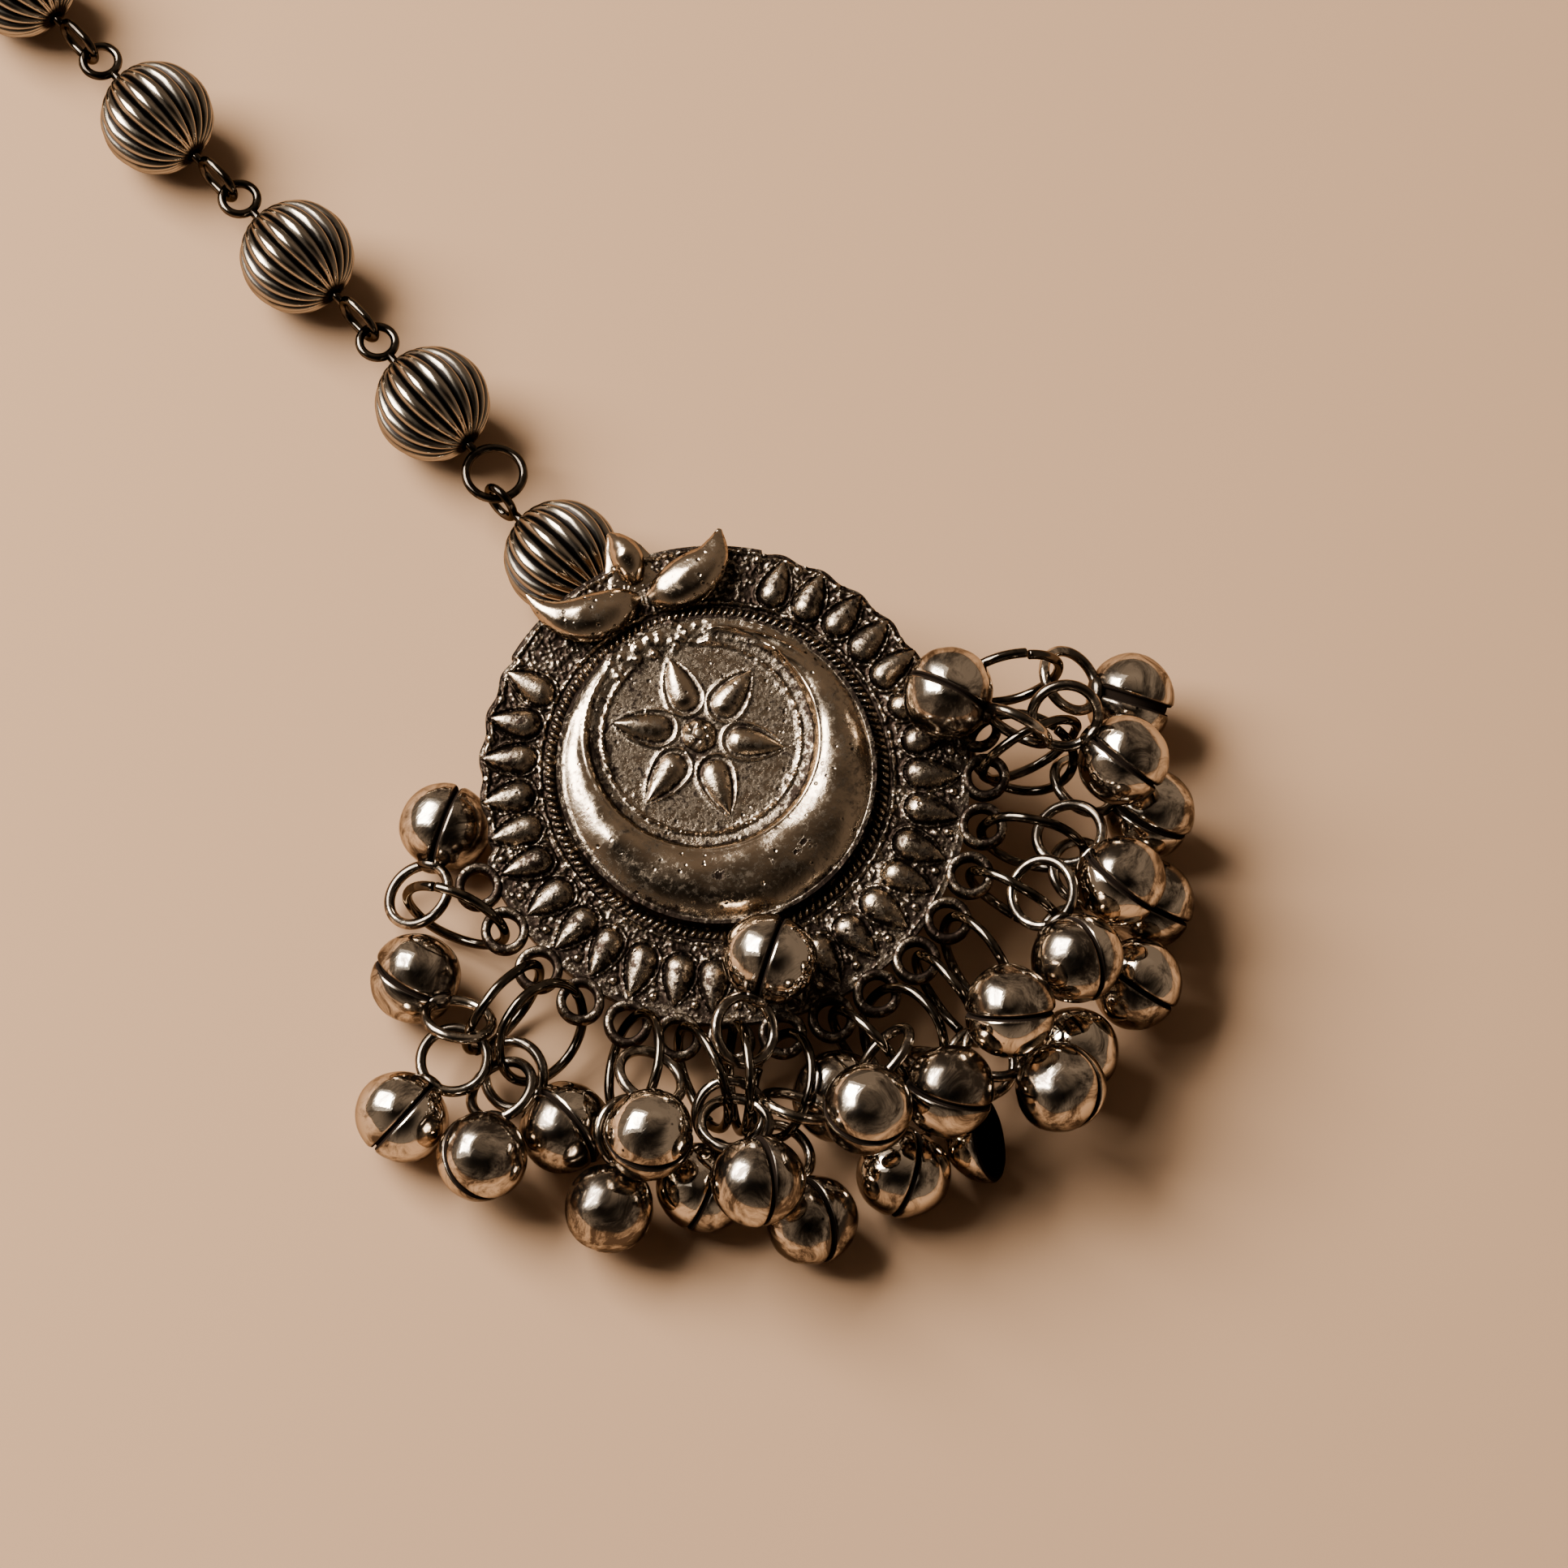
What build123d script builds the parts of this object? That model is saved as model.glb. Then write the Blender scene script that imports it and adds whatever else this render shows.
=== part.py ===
from build123d import *
import os
from math import cos, pi, radians, sin

import numpy as np

os.makedirs("parts", exist_ok=True)

# A maang tikka lying on a table: a cast crescent pendant with a fringe of small two-cup bells
# on jump rings, a chain of fluted beads on eyed wires, and a hair hook. Sizes in millimetres.
# +Z is up and the table is z = 0. The chain runs along +Y and the pendant lies at -Y.

# ---- the pendant's place -------------------------------------------------------------------
PENDANT_X, PENDANT_Y = 1.9, -29.8      # middle of the casting over the table
PENDANT_RISE = 6.6                     # its height there, propped by the bead and the bells
LEAN = 10.0                            # tilt of its face from level
LEAN_TO = 217.0                        # bearing of its low side
LEAF_BEARING = 72.0                    # bearing of its leaf end

# ---- the casting ---------------------------------------------------------------------------
PLATE_R = 14.4            # plain edge of the plate
PLATE_TOP = 0.4           # front face above the mid plane
PLATE_BACK = -0.6         # back face below it
PLATE_BEVEL = 0.35
RIM_R = 15.0              # edge that carries the lugs
RIM_STEP = 0.15           # it lies this far below the front face
RIM_END = 1.5             # it stops this far above the middle of the lug ring
BOSS_R = 9.7              # foot of the crescent dome
BOSS_SIDE_R, BOSS_SIDE = 9.1, 1.25         # its steep side, radius and height there
BOSS_SHOULDER_R, BOSS_SHOULDER = 7.5, 1.9  # where its side turns over
BOSS_RISE = 2.2           # its crest above the front face
BOSS_FOOT = -0.2          # its foot is sunk in the plate
DISC_R = 7.0              # dished disc inside the crescent
DISC_U, DISC_V = -0.15, 2.1
DISC_RISE = 0.9
DISC_STEP, DISC_DROP = 0.95, 0.15          # inner ring line of the disc, its width and depth
ROPE_R, ROPE_WIRE = 10.15, 0.33
FLOWER_U, FLOWER_V = -0.2, 2.3
FLOWER_PETALS = 6
FLOWER_TURN = -3.0
PETAL_TIP, PETAL_HEAD, PETAL_HEAD_R = 5.15, 2.5, 0.92
KNOB_R = 1.1
DROP_COUNT = 28
DROP_STEP = 10.4
DROP_TIP, DROP_HEAD, DROP_HEAD_R = 14.3, 12.1, 0.9
DROP_V = -0.45            # middle of the ring of drops
DROP_SINK = 0.25
DROP_POINT_R = 0.15
GRAIN_R = 0.3
GRAIN_RING = 13.9
LUG_COUNT = 17
LUG_STEP = 11.25
LUG_RING = 16.0
LUG_V = -0.6              # middle of the lug ring
LUG_R, LUG_HOLE_R = 1.35, 0.9
LUG_HALF = 0.4
LUG_CORNER = 0.1          # how far a lug's square edges stand out of a round wire
BAIL_R, BAIL_WIRE = 1.8, 0.4
BAIL_U, BAIL_V = 0.2, 12.4
BAIL_SINK = 0.5           # the bail's top is sunk this far into the back

# leaves and bud: sections along each, as place over the casting (u, v, w), half width, half height
LEFT_LEAF = [
    (0.2, 11.9, 0.9, 0.4, 0.3),
    (-1.5, 11.7, 1.15, 1.3, 0.95),
    (-3.4, 11.8, 1.3, 1.5, 1.15),
    (-5.1, 12.9, 1.2, 0.95, 0.8),
    (-6.0, 14.6, 1.1, 0.2, 0.2),
]
RIGHT_LEAF = [
    (0.7, 11.5, 0.9, 0.4, 0.3),
    (2.0, 11.5, 1.15, 1.25, 0.95),
    (3.6, 11.6, 1.3, 1.35, 1.05),
    (5.2, 12.3, 1.4, 0.9, 0.8),
    (6.3, 13.6, 1.4, 0.25, 0.25),
]
BUD = [
    (0.5, 12.9, 0.6, 0.45, 0.4),
    (0.5, 13.6, 0.9, 0.85, 0.8),
    (0.5, 14.5, 1.0, 1.0, 0.95),
    (0.4, 15.4, 0.9, 0.65, 0.65),
    (0.2, 16.3, 0.8, 0.2, 0.2),
]

# ---- rings and bells -----------------------------------------------------------------------
RING_R, RING_WIRE = 3.2, 0.3          # jump rings, wire radius
EYE_R, EYE_WIRE = 2.0, 0.33           # bell eyes
EYE_REACH = 4.65                      # bell middle to eye middle
BELL_R, BELL_WALL = 2.7, 0.3
BELL_BULGE = 2.82                     # room taken by a bell, wider across its seam
CUP_LIP = 0.08                        # straight lip of each cup at the seam
NECK_R, NECK_SPAN = 0.5, 0.9          # short bar that joins the cups under the eye
CLEAR = 0.12                          # room kept between loose pieces
LINK_PLAY = EYE_R - EYE_WIRE - RING_WIRE - 0.08

# jump rings as the settling starts: lug (0 is the middle of the fringe), bearing outwards,
# rise above level, roll of the ring's plane from upright, all in degrees
JUMP_RINGS = [
    (-7, 115, -10, 0),
    (-6, 190, -5, 0),
    (-5, 190, 10, -25),
    (-4, 240, 10, 30),
    (-3, 255, 10, 10),
    (-2, 245, 15, 15),
    (-1, 225, -5, 30),
    (0, 265, 10, 0),
    (1, 265, -10, 35),
    (2, 260, 10, 0),
    (3, 260, -10, 0),
    (4, 280, 0, -10),
    (5, 300, -5, 0),
    (6, 340, 25, 0),
    (7, 295, -15, 20),
    (8, 330, -15, 0),
]
LEFT_RINGS_END = 0                    # rings up to this lug are one node, the others the next

# bells as the settling starts: number, lug, place of the eye round its ring (degrees up from
# the ring's far side), middle over the table from the pendant's middle, turn of the seam about
# the eye's axis from upright, seam gap
BELLS = [
    (1, -6, 30, -21.5, 3.0, 2.7, 45, 0.14),
    (2, -6, -5, -28.0, -4.0, 2.7, 15, 0.14),
    (3, -5, -20, -26.5, -9.0, 3.5, -60, 0.14),
    (4, -5, -40, -21.5, -10.5, 2.7, 0, 0.14),
    (5, -4, 30, -20.0, -15.0, 7.5, 90, 0.14),
    (6, -4, -15, -22.5, -16.0, 2.7, 90, 0.14),
    (7, -2, 100, -6.5, -11.5, 8.2, 0, 0.2),
    (8, -3, 10, -16.5, -21.0, 7.0, 15, 0.14),
    (9, -3, -10, -17.5, -18.0, 2.7, 15, 0.14),
    (10, -1, -20, -14.0, -24.0, 2.7, 15, 0.14),
    (11, -1, 50, -8.0, -20.0, 3.5, -45, 0.14),
    (12, 0, 50, -9.0, -22.5, 9.0, 90, 0.14),
    (13, 1, 25, -4.0, -24.5, 7.5, -75, 0.14),
    (14, 1, -30, -8.0, -25.5, 2.7, 15, 0.14),
    (15, 2, -5, 1.0, -28.5, 6.5, 45, 0.14),
    (16, 2, -25, -2.5, -27.0, 2.7, 150, 0.14),
    (17, 3, 20, 1.0, -24.0, 10.0, 75, 0.14),
    (18, 4, 30, 7.5, -23.5, 8.0, 15, 0.14),
    (19, 5, 20, 13.0, -21.0, 8.0, -30, 0.14),
    (20, 6, 20, 18.5, -16.0, 8.5, -30, 0.14),
    (21, 7, 0, 19.5, -18.5, 3.5, -45, 0.2),
    (22, 8, 0, 24.0, -12.0, 3.5, -30, 0.5),
    (23, 6, 75, 12.5, -6.5, 11.2, 15, 0.14),
    (24, 5, -30, 15.5, -22.5, 2.7, -30, 0.14),
    (25, 4, -20, 11.0, -26.0, 3.2, -30, 0.14),
    (26, 3, -30, 5.5, -26.5, 2.8, 75, 0.14),
    (27, -7, -20, -13.0, 9.0, 2.7, 0, 0.2),
]
OPEN_BELL = 16                        # this one has lost a cup
SETTLE_STEPS = [0.5, 0.3, 0.3, 0.15, 0.15, 0.08, 0.08, 0.04, 0.04]
DEGREES_PER_STEP = 14.0               # an angle moves this far for each millimetre of a place

# ---- chain ---------------------------------------------------------------------------------
BEAD_R, BEAD_WALL = 3.6, 0.6          # pressed hollow
BEAD_FLUTES = 20
BEAD_HOLE_R = 0.5
PIN_R = 0.275                         # wire of the eyed pins
ROUND_EYE_R = 1.12                    # a pin's round eye
LONG_EYE_HALF = 0.4                   # half the straight of a long eye
WIDE_EYE_R = 1.8                      # the first bead's wide lower eye, lying flat
TALL_EYE_R = 1.45                     # the crown bead's upright lower eye, round the bail
NECK = 0.8
# beads from the pendant up: name, middle over the table, height, bearing of the axis, its rise
BEADS = [
    ("crown", 3.9, 18.1, 3.6, 91.0, -5.0, "tall", "round_up"),
    ("1", 5.0, 31.4, 3.6, 87.0, 0.0, "wide", "round_flat"),
    ("2", 5.5, 44.8, 3.6, 90.0, 0.0, "long", "round_flat"),
    ("3", 5.4, 58.2, 3.6, 90.0, 0.0, "long", "round_flat"),
    ("4", 5.3, 71.6, 3.6, 90.0, 0.0, "long", "round_flat"),
]
FLUTE_R = 0.26                        # round cutter of a flute
FLUTE_SINK = 0.06                     # its line stands this far outside the bead
FLUTE_SPAN = 130.0                    # degrees from end to end of a flute
HOOK_LINK = 1.6
HOOK_WIRE = 0.35
HOOK_SHANK = 9.0
HOOK_BEND_R = 1.9
HOOK_RETURN = 5.5
HOOK_EYE_R = 1.2
HOOK_FALL = 14.5                      # the shank slopes down to the table
HOOK_EYE_HEIGHT = 3.5

FLOOR = 0.0


# ---- directions and places -----------------------------------------------------------------
def unit(vector):
    return vector / np.linalg.norm(vector)


def heading(bearing, rise=0.0):
    """The unit direction on a compass bearing from +X, raised from level, both in degrees."""
    turn, lift = radians(bearing), radians(rise)
    return np.array([cos(lift) * cos(turn), cos(lift) * sin(turn), sin(lift)])


UP = np.array([0.0, 0.0, 1.0])
MIDDLE = np.array([PENDANT_X, PENDANT_Y, PENDANT_RISE])
NORMAL = heading(LEAN_TO, 90.0 - LEAN)
LEAFWARD = unit(heading(LEAF_BEARING) - NORMAL * heading(LEAF_BEARING).dot(NORMAL))
ACROSS = np.cross(LEAFWARD, NORMAL)
FACE = Plane(origin=tuple(MIDDLE), x_dir=tuple(ACROSS), z_dir=tuple(NORMAL))


def over_casting(u, v, w):
    """A place given across the casting, towards its leaves and out of its face."""
    return MIDDLE + u * ACROSS + v * LEAFWARD + w * NORMAL


def lug_spot(lug):
    """A lug's middle on the face, counted from the middle of the fringe."""
    turn = radians(LUG_STEP * lug)
    return LUG_RING * sin(turn), LUG_V - LUG_RING * cos(turn)


def plane(middle, normal, x_dir):
    return Plane(origin=tuple(middle), x_dir=tuple(x_dir), z_dir=tuple(normal))


# ---- settling the fringe -------------------------------------------------------------------
# Each jump ring hangs in its lug's hole and each bell's eye hangs round its ring, so a ring is
# three angles and a bell one angle and a middle. These start from the tables above and move in
# ever smaller steps, each step kept only when it leaves less crowding.
def round_points(middle, normal, radius, count):
    """Points spaced evenly round a circle."""
    first = unit(np.cross(normal, [0.13, 0.31, 0.94]))
    second = np.cross(normal, first)
    turn = np.linspace(0.0, 2.0 * pi, count, endpoint=False)[:, None]
    return middle + radius * (np.cos(turn) * first + np.sin(turn) * second)


def wire_loop(middle, normal, radius, wire, count):
    """A round loop of wire as the settling sees it: points, thickness, middle and reach."""
    return round_points(middle, normal, radius, count), wire, middle, radius + wire


def ball(middle, radius):
    return middle[None], radius, middle, radius


def ring_frame(lug, angles):
    """A jump ring's middle, and its directions out from the lug, up round the wire and across."""
    bearing, rise, roll = angles
    out = heading(bearing, rise)
    side = heading(bearing - 90.0)
    across = cos(radians(roll)) * side + sin(radians(roll)) * np.cross(side, out)
    up = np.cross(across, out)
    hole = over_casting(*lug_spot(lug), 0.0)
    return hole + RING_R * out, out, up * np.sign(up[2]), across


def eye_frame(ring, swing, middle):
    """A bell's axis, its eye's middle and normal, the reach to its ring, and how squarely the
    ring's wire passes through the eye (1 is square, 0 is along it)."""
    ring_middle, out, up, _ = ring
    turn = radians(swing)
    held = ring_middle + RING_R * (cos(turn) * out + sin(turn) * up)
    wire = cos(turn) * up - sin(turn) * out
    reach = np.linalg.norm(held - middle)
    axis = (held - middle) / reach
    normal = wire - axis * wire.dot(axis)
    square = np.linalg.norm(normal)
    return axis, middle + EYE_REACH * axis, normal / square, reach, square


def plate_room(points):
    """How far the points lie from the plate and its rim."""
    offset = points - MIDDLE
    u, v, w = offset @ ACROSS, offset @ LEAFWARD, offset @ NORMAL
    beyond = np.hypot(u, v) - np.where(v > 0.11 * np.hypot(u, v), PLATE_R + 0.2, RIM_R + 0.2)
    above = np.maximum(w - PLATE_TOP - 0.3, PLATE_BACK - w)
    return np.hypot(np.maximum(beyond, 0.0), np.maximum(above, 0.0)).min()


def gap(piece, other):
    """The clear gap between two pieces, or None where they are far apart."""
    points, wire, middle, bound = piece
    points_2, wire_2, middle_2, bound_2 = other
    between = middle - middle_2
    if between @ between > (bound + bound_2 + CLEAR) ** 2:
        return None
    apart = ((points[:, None] - points_2[None]) ** 2).sum(2).min()
    return apart ** 0.5 - wire - wire_2


LUG_WIRE = (LUG_R - LUG_HOLE_R) / 2
LUG_LOOPS = [wire_loop(over_casting(*lug_spot(lug), rise), NORMAL, (LUG_R + LUG_HOLE_R) / 2,
                       LUG_WIRE + LUG_CORNER, 36)
             for lug in range(-(LUG_COUNT // 2), LUG_COUNT // 2 + 1)
             for rise in (LUG_WIRE - LUG_HALF, LUG_HALF - LUG_WIRE)]
CROWN = BEADS[0]
CROWN_BALL = ball(np.array([CROWN[1] + PENDANT_X, CROWN[2] + PENDANT_Y, CROWN[3]]), BEAD_R)


def crowding(name, piece, pieces, own):
    """The squares of every shortfall in a piece's clearance, added up."""
    points, wire, _, _ = piece
    gaps = [gap(piece, other) for key, other in pieces.items() if key != name and key not in own]
    gaps += [gap(piece, fixed) for fixed in LUG_LOOPS + [CROWN_BALL]]
    gaps += [plate_room(points) - wire]
    short = [CLEAR - clear for clear in gaps if clear is not None and clear < CLEAR]
    sunk = max(FLOOR + wire - points[:, 2].min(), 0.0)
    return sum(lack * lack for lack in short) + 4.0 * sunk * sunk


def strain(reach, square):
    """How far a bell's eye is from hanging properly round its ring."""
    over = max(abs(reach - EYE_REACH) - LINK_PLAY, 0.0)
    slant = max(0.75 - square, 0.0)
    return 2.0 * over * over + 3.0 * slant * slant


def settle():
    """Move the rings and bells of the tables clear of each other; returns both."""
    angles = {lug: list(row) for lug, *row in JUMP_RINGS}
    held_by = {row[0]: row[1] for row in BELLS}
    laid = {row[0]: [row[2], row[3] + PENDANT_X, row[4] + PENDANT_Y, row[5]] for row in BELLS}
    start_angles = {lug: list(row) for lug, row in angles.items()}
    start_laid = {number: list(row) for number, row in laid.items()}
    frames = {lug: ring_frame(lug, row) for lug, row in angles.items()}
    pieces = {}

    def bell_pieces(number, frame):
        middle = np.array(laid[number][1:])
        _, eye, normal, reach, square = eye_frame(frame, laid[number][0], middle)
        shapes = {("bell", number): ball(middle, BELL_BULGE),
                  ("eye", number): wire_loop(eye, normal, EYE_R, EYE_WIRE, 44)}
        return shapes, strain(reach, square)

    def bell_cost(number):
        shapes, cost = bell_pieces(number, frames[held_by[number]])
        for key, piece in shapes.items():
            cost += crowding(key, piece, pieces, shapes)
        moved = [now - then for now, then in zip(laid[number][1:], start_laid[number][1:])]
        return cost + 0.01 * sum(step * step for step in moved), shapes, None

    def ring_cost(lug):
        frame = ring_frame(lug, angles[lug])
        ring = wire_loop(frame[0], frame[3], RING_R, RING_WIRE, 64)
        shapes, cost = {("ring", lug): ring}, 0.0
        for number in (bell for bell in held_by if held_by[bell] == lug):
            hung, pull = bell_pieces(number, frame)
            shapes.update(hung)
            cost += pull
        around = {**pieces, **shapes}
        for key, piece in shapes.items():
            own = {("bell", key[1]), ("eye", key[1])} if key[0] != "ring" else {}
            cost += crowding(key, piece, around, own)
        turned = [now - then for now, then in zip(angles[lug], start_angles[lug])]
        return cost + 1e-5 * sum(step * step for step in turned), shapes, frame

    def relax(row, column, step, cost_of, key):
        best = cost_of(key)[0]
        for move in (step, -step):
            row[column] += move
            cost, shapes, frame = cost_of(key)
            if cost < best - 1e-6:
                pieces.update(shapes)
                if frame is not None:
                    frames[key] = frame
                return
            row[column] -= move

    for lug, frame in frames.items():
        pieces["ring", lug] = wire_loop(frame[0], frame[3], RING_R, RING_WIRE, 64)
    for number in laid:
        pieces.update(bell_pieces(number, frames[held_by[number]])[0])
    for step in SETTLE_STEPS:
        for lug, row in angles.items():
            for column in range(3):
                relax(row, column, step * DEGREES_PER_STEP, ring_cost, lug)
        for number, row in laid.items():
            relax(row, 0, step * DEGREES_PER_STEP, bell_cost, number)
            for column in (1, 2, 3):
                relax(row, column, step, bell_cost, number)
    return frames, {number: (held_by[number], row[0], np.array(row[1:]))
                    for number, row in laid.items()}


rings, bells = settle()


# ---- building --------------------------------------------------------------------------------
def save(piece, name):
    """Label a finished piece and write its file; the file's name is the piece's name."""
    piece.part.label = name
    export_step(piece.part, f"parts/{name}.step")


def round_the_face(turn, radius, shift=0.0):
    """A place on the face, turned in degrees from the middle of the fringe."""
    return radius * sin(radians(turn)), shift - radius * cos(radians(turn))


def drops(places, head_r, length):
    """Raised drops on the face, each a ball head with a cone drawn tangent to it out to the tip.
    A place is (u, v, w) and the direction (across, along) of its tip."""
    tangent = head_r * head_r / length
    mouth = head_r * (1.0 - (head_r / length) ** 2) ** 0.5
    middle = (tangent + length) / 2
    with Locations(*[spot for spot, _ in places]):
        Sphere(head_r)
    with Locations(*[Plane(origin=(u + across * middle, v + along * middle, w),
                           z_dir=(across, along, 0))
                     for (u, v, w), (across, along) in places]):
        Cone(mouth, DROP_POINT_R, length - tangent)


def swept_leaf(rows):
    """A fat leaf: oval sections along its line, lofted."""
    places = [over_casting(u, v, w) for u, v, w, _, _ in rows]
    sections = []
    for index, (_, _, _, half_width, half_height) in enumerate(rows):
        ahead = places[min(index + 1, len(places) - 1)] - places[max(index - 1, 0)]
        side = np.cross(NORMAL, unit(ahead))
        with BuildSketch(plane(places[index], unit(ahead), unit(side))) as section:
            Ellipse(half_width, half_height)
        sections.append(section.sketch)
    loft(sections)


lugs = range(-(LUG_COUNT // 2), LUG_COUNT // 2 + 1)
lug_spots = [lug_spot(lug) for lug in lugs]
face_axis = Axis(tuple(MIDDLE), tuple(NORMAL))

with BuildPart(FACE) as medallion:
    # plate, with a bevelled front edge, and the rim that carries the lugs
    with BuildSketch(FACE.offset(PLATE_BACK)):
        Circle(PLATE_R)
    extrude(amount=PLATE_TOP - PLATE_BACK)
    chamfer(medallion.faces().sort_by(face_axis)[-1].edges(), PLATE_BEVEL)
    with BuildSketch(FACE.offset(PLATE_BACK)):
        with Locations((0, LUG_V)):
            Circle(RIM_R)
        with Locations((0, LUG_V + RIM_R / 2 + RIM_END)):
            Rectangle(2 * RIM_R, RIM_R, mode=Mode.SUBTRACT)
    extrude(amount=PLATE_TOP - PLATE_BACK - RIM_STEP)
    with BuildSketch(FACE.offset(-LUG_HALF)):
        with Locations(*lug_spots):
            Circle(LUG_R)
    extrude(amount=2 * LUG_HALF)
    with BuildSketch(FACE.offset(-2 * LUG_HALF)):
        with Locations(*lug_spots):
            Circle(LUG_HOLE_R)
    extrude(amount=4 * LUG_HALF, mode=Mode.SUBTRACT)

    # crescent dome: a steep-sided swell whose dished disc sits off centre towards the leaves
    section = Plane(origin=FACE.origin, x_dir=FACE.x_dir, z_dir=-FACE.y_dir)
    with BuildSketch(section) as dome_section:
        with BuildLine():
            foot = PLATE_TOP + BOSS_FOOT
            shoulder = (BOSS_SHOULDER_R, PLATE_TOP + BOSS_SHOULDER)
            crest = (0, PLATE_TOP + BOSS_RISE)
            Line((0, foot), (BOSS_R, foot))
            ThreePointArc((BOSS_R, foot), (BOSS_SIDE_R, PLATE_TOP + BOSS_SIDE), shoulder)
            TangentArc(crest, shoulder, tangent=(1, 0))
            Line(crest, (0, foot))
        make_face()
    revolve(axis=face_axis)
    with BuildSketch(FACE.offset(PLATE_TOP + DISC_RISE)):
        with Locations((DISC_U, DISC_V)):
            Circle(DISC_R)
    extrude(amount=BOSS_RISE, mode=Mode.SUBTRACT)
    bed = PLATE_TOP + DISC_RISE - DISC_DROP
    with BuildSketch(FACE.offset(bed)):
        with Locations((DISC_U, DISC_V)):
            Circle(DISC_R - DISC_STEP)
    extrude(amount=BOSS_RISE, mode=Mode.SUBTRACT)

    # rope line round the dome
    with Locations((0, 0, PLATE_TOP)):
        Torus(ROPE_R, ROPE_WIRE)

    # flower on the disc
    with Locations((FLOWER_U, FLOWER_V, bed)):
        Sphere(KNOB_R)
    petals = []
    for petal in range(FLOWER_PETALS):
        turn = radians(90.0 + FLOWER_TURN + petal * 360.0 / FLOWER_PETALS)
        u, v = FLOWER_U + PETAL_HEAD * cos(turn), FLOWER_V + PETAL_HEAD * sin(turn)
        petals.append(((u, v, bed), (cos(turn), sin(turn))))
    drops(petals, PETAL_HEAD_R, PETAL_TIP - PETAL_HEAD)

    # ring of drops with a grain between each two
    turns = [(place - (DROP_COUNT - 1) / 2) * DROP_STEP for place in range(DROP_COUNT)]
    drops([((*round_the_face(turn, DROP_HEAD, DROP_V), PLATE_TOP - DROP_SINK),
            round_the_face(turn, 1.0)) for turn in turns], DROP_HEAD_R, DROP_TIP - DROP_HEAD)
    with Locations(*[(*round_the_face(turn + DROP_STEP / 2, GRAIN_RING, DROP_V), PLATE_TOP)
                     for turn in turns[:-1]]):
        Sphere(GRAIN_R)

    # leaves and bud over the leaf end, and the plain bail behind it
    swept_leaf(LEFT_LEAF)
    swept_leaf(RIGHT_LEAF)
    swept_leaf(BUD)
    bail_w = PLATE_BACK + BAIL_SINK - BAIL_R
    with Locations(Plane(origin=(BAIL_U, BAIL_V, bail_w), z_dir=(0, 1, 0))):
        Torus(BAIL_R, BAIL_WIRE)
save(medallion, "medallion")


# ---- fringe ----------------------------------------------------------------------------------
def ring_set(chosen):
    """Jump rings, each a loose closed loop in its lug."""
    with Locations(*[plane(rings[lug][0], rings[lug][3], rings[lug][1]) for lug in chosen]):
        Torus(RING_R, RING_WIRE)


with BuildPart() as rings_left:
    ring_set([lug for lug in rings if lug <= LEFT_RINGS_END])
save(rings_left, "rings_left")

with BuildPart() as rings_right:
    ring_set([lug for lug in rings if lug > LEFT_RINGS_END])
save(rings_right, "rings_right")

for number, _, _, _, _, _, seam_turn, seam_gap in BELLS:
    lug, swing, middle = bells[number]
    axis, eye, eye_normal, _, _ = eye_frame(rings[lug], swing, middle)
    upright = unit(np.cross(axis, UP))
    seam = cos(radians(seam_turn)) * upright + sin(radians(seam_turn)) * np.cross(axis, upright)
    cups = (1,) if number == OPEN_BELL else (1, -1)
    with BuildPart() as bell:
        # the two cups: a half ring of wall turned about the line across the seam
        with BuildSketch(plane(middle, np.cross(seam, axis), seam)):
            for side in cups:
                with BuildLine():
                    lip, cup = side * seam_gap / 2, side * (seam_gap / 2 + CUP_LIP)
                    inside, slant = BELL_R - BELL_WALL, 0.5 ** 0.5
                    Line((lip, inside), (lip, BELL_R))
                    Line((lip, BELL_R), (cup, BELL_R))
                    ThreePointArc((cup, BELL_R), (cup + side * slant * BELL_R, slant * BELL_R),
                                  (cup + side * BELL_R, 0))
                    Line((cup + side * BELL_R, 0), (cup + side * inside, 0))
                    ThreePointArc((cup + side * inside, 0),
                                  (cup + side * slant * inside, slant * inside), (cup, inside))
                    Line((cup, inside), (lip, inside))
                make_face()
        revolve(axis=Axis(tuple(middle), tuple(seam)))
        # the neck that joins the cups under the eye, and the eye
        with Locations(plane(middle + (BELL_R - BELL_WALL / 2) * axis, seam, axis)):
            Cylinder(NECK_R, seam_gap + NECK_SPAN)
        with Locations(plane(eye, eye_normal, axis)):
            Torus(EYE_R, EYE_WIRE)
    save(bell, f"bell_{number:02d}")


# ---- chain -----------------------------------------------------------------------------------
def round_eye(middle, normal, radius=ROUND_EYE_R, wire=PIN_R):
    with Locations(plane(middle, normal, np.cross(normal, [0.3, 0.2, 0.9]))):
        Torus(radius, wire)


def long_eye(middle, normal, along):
    """A stadium-shaped loop of wire."""
    half, radius = LONG_EYE_HALF, ROUND_EYE_R
    with BuildLine(plane(middle, normal, along)) as loop:
        Line((-half, radius), (half, radius))
        ThreePointArc((half, radius), (half + radius, 0), (half, -radius))
        Line((half, -radius), (-half, -radius))
        ThreePointArc((-half, -radius), (-half - radius, 0), (-half, radius))
    with BuildSketch(Plane(origin=loop.line @ 0, z_dir=loop.line % 0)) as wire:
        Circle(PIN_R)
    sweep(wire.sketch, path=loop.line)


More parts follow.
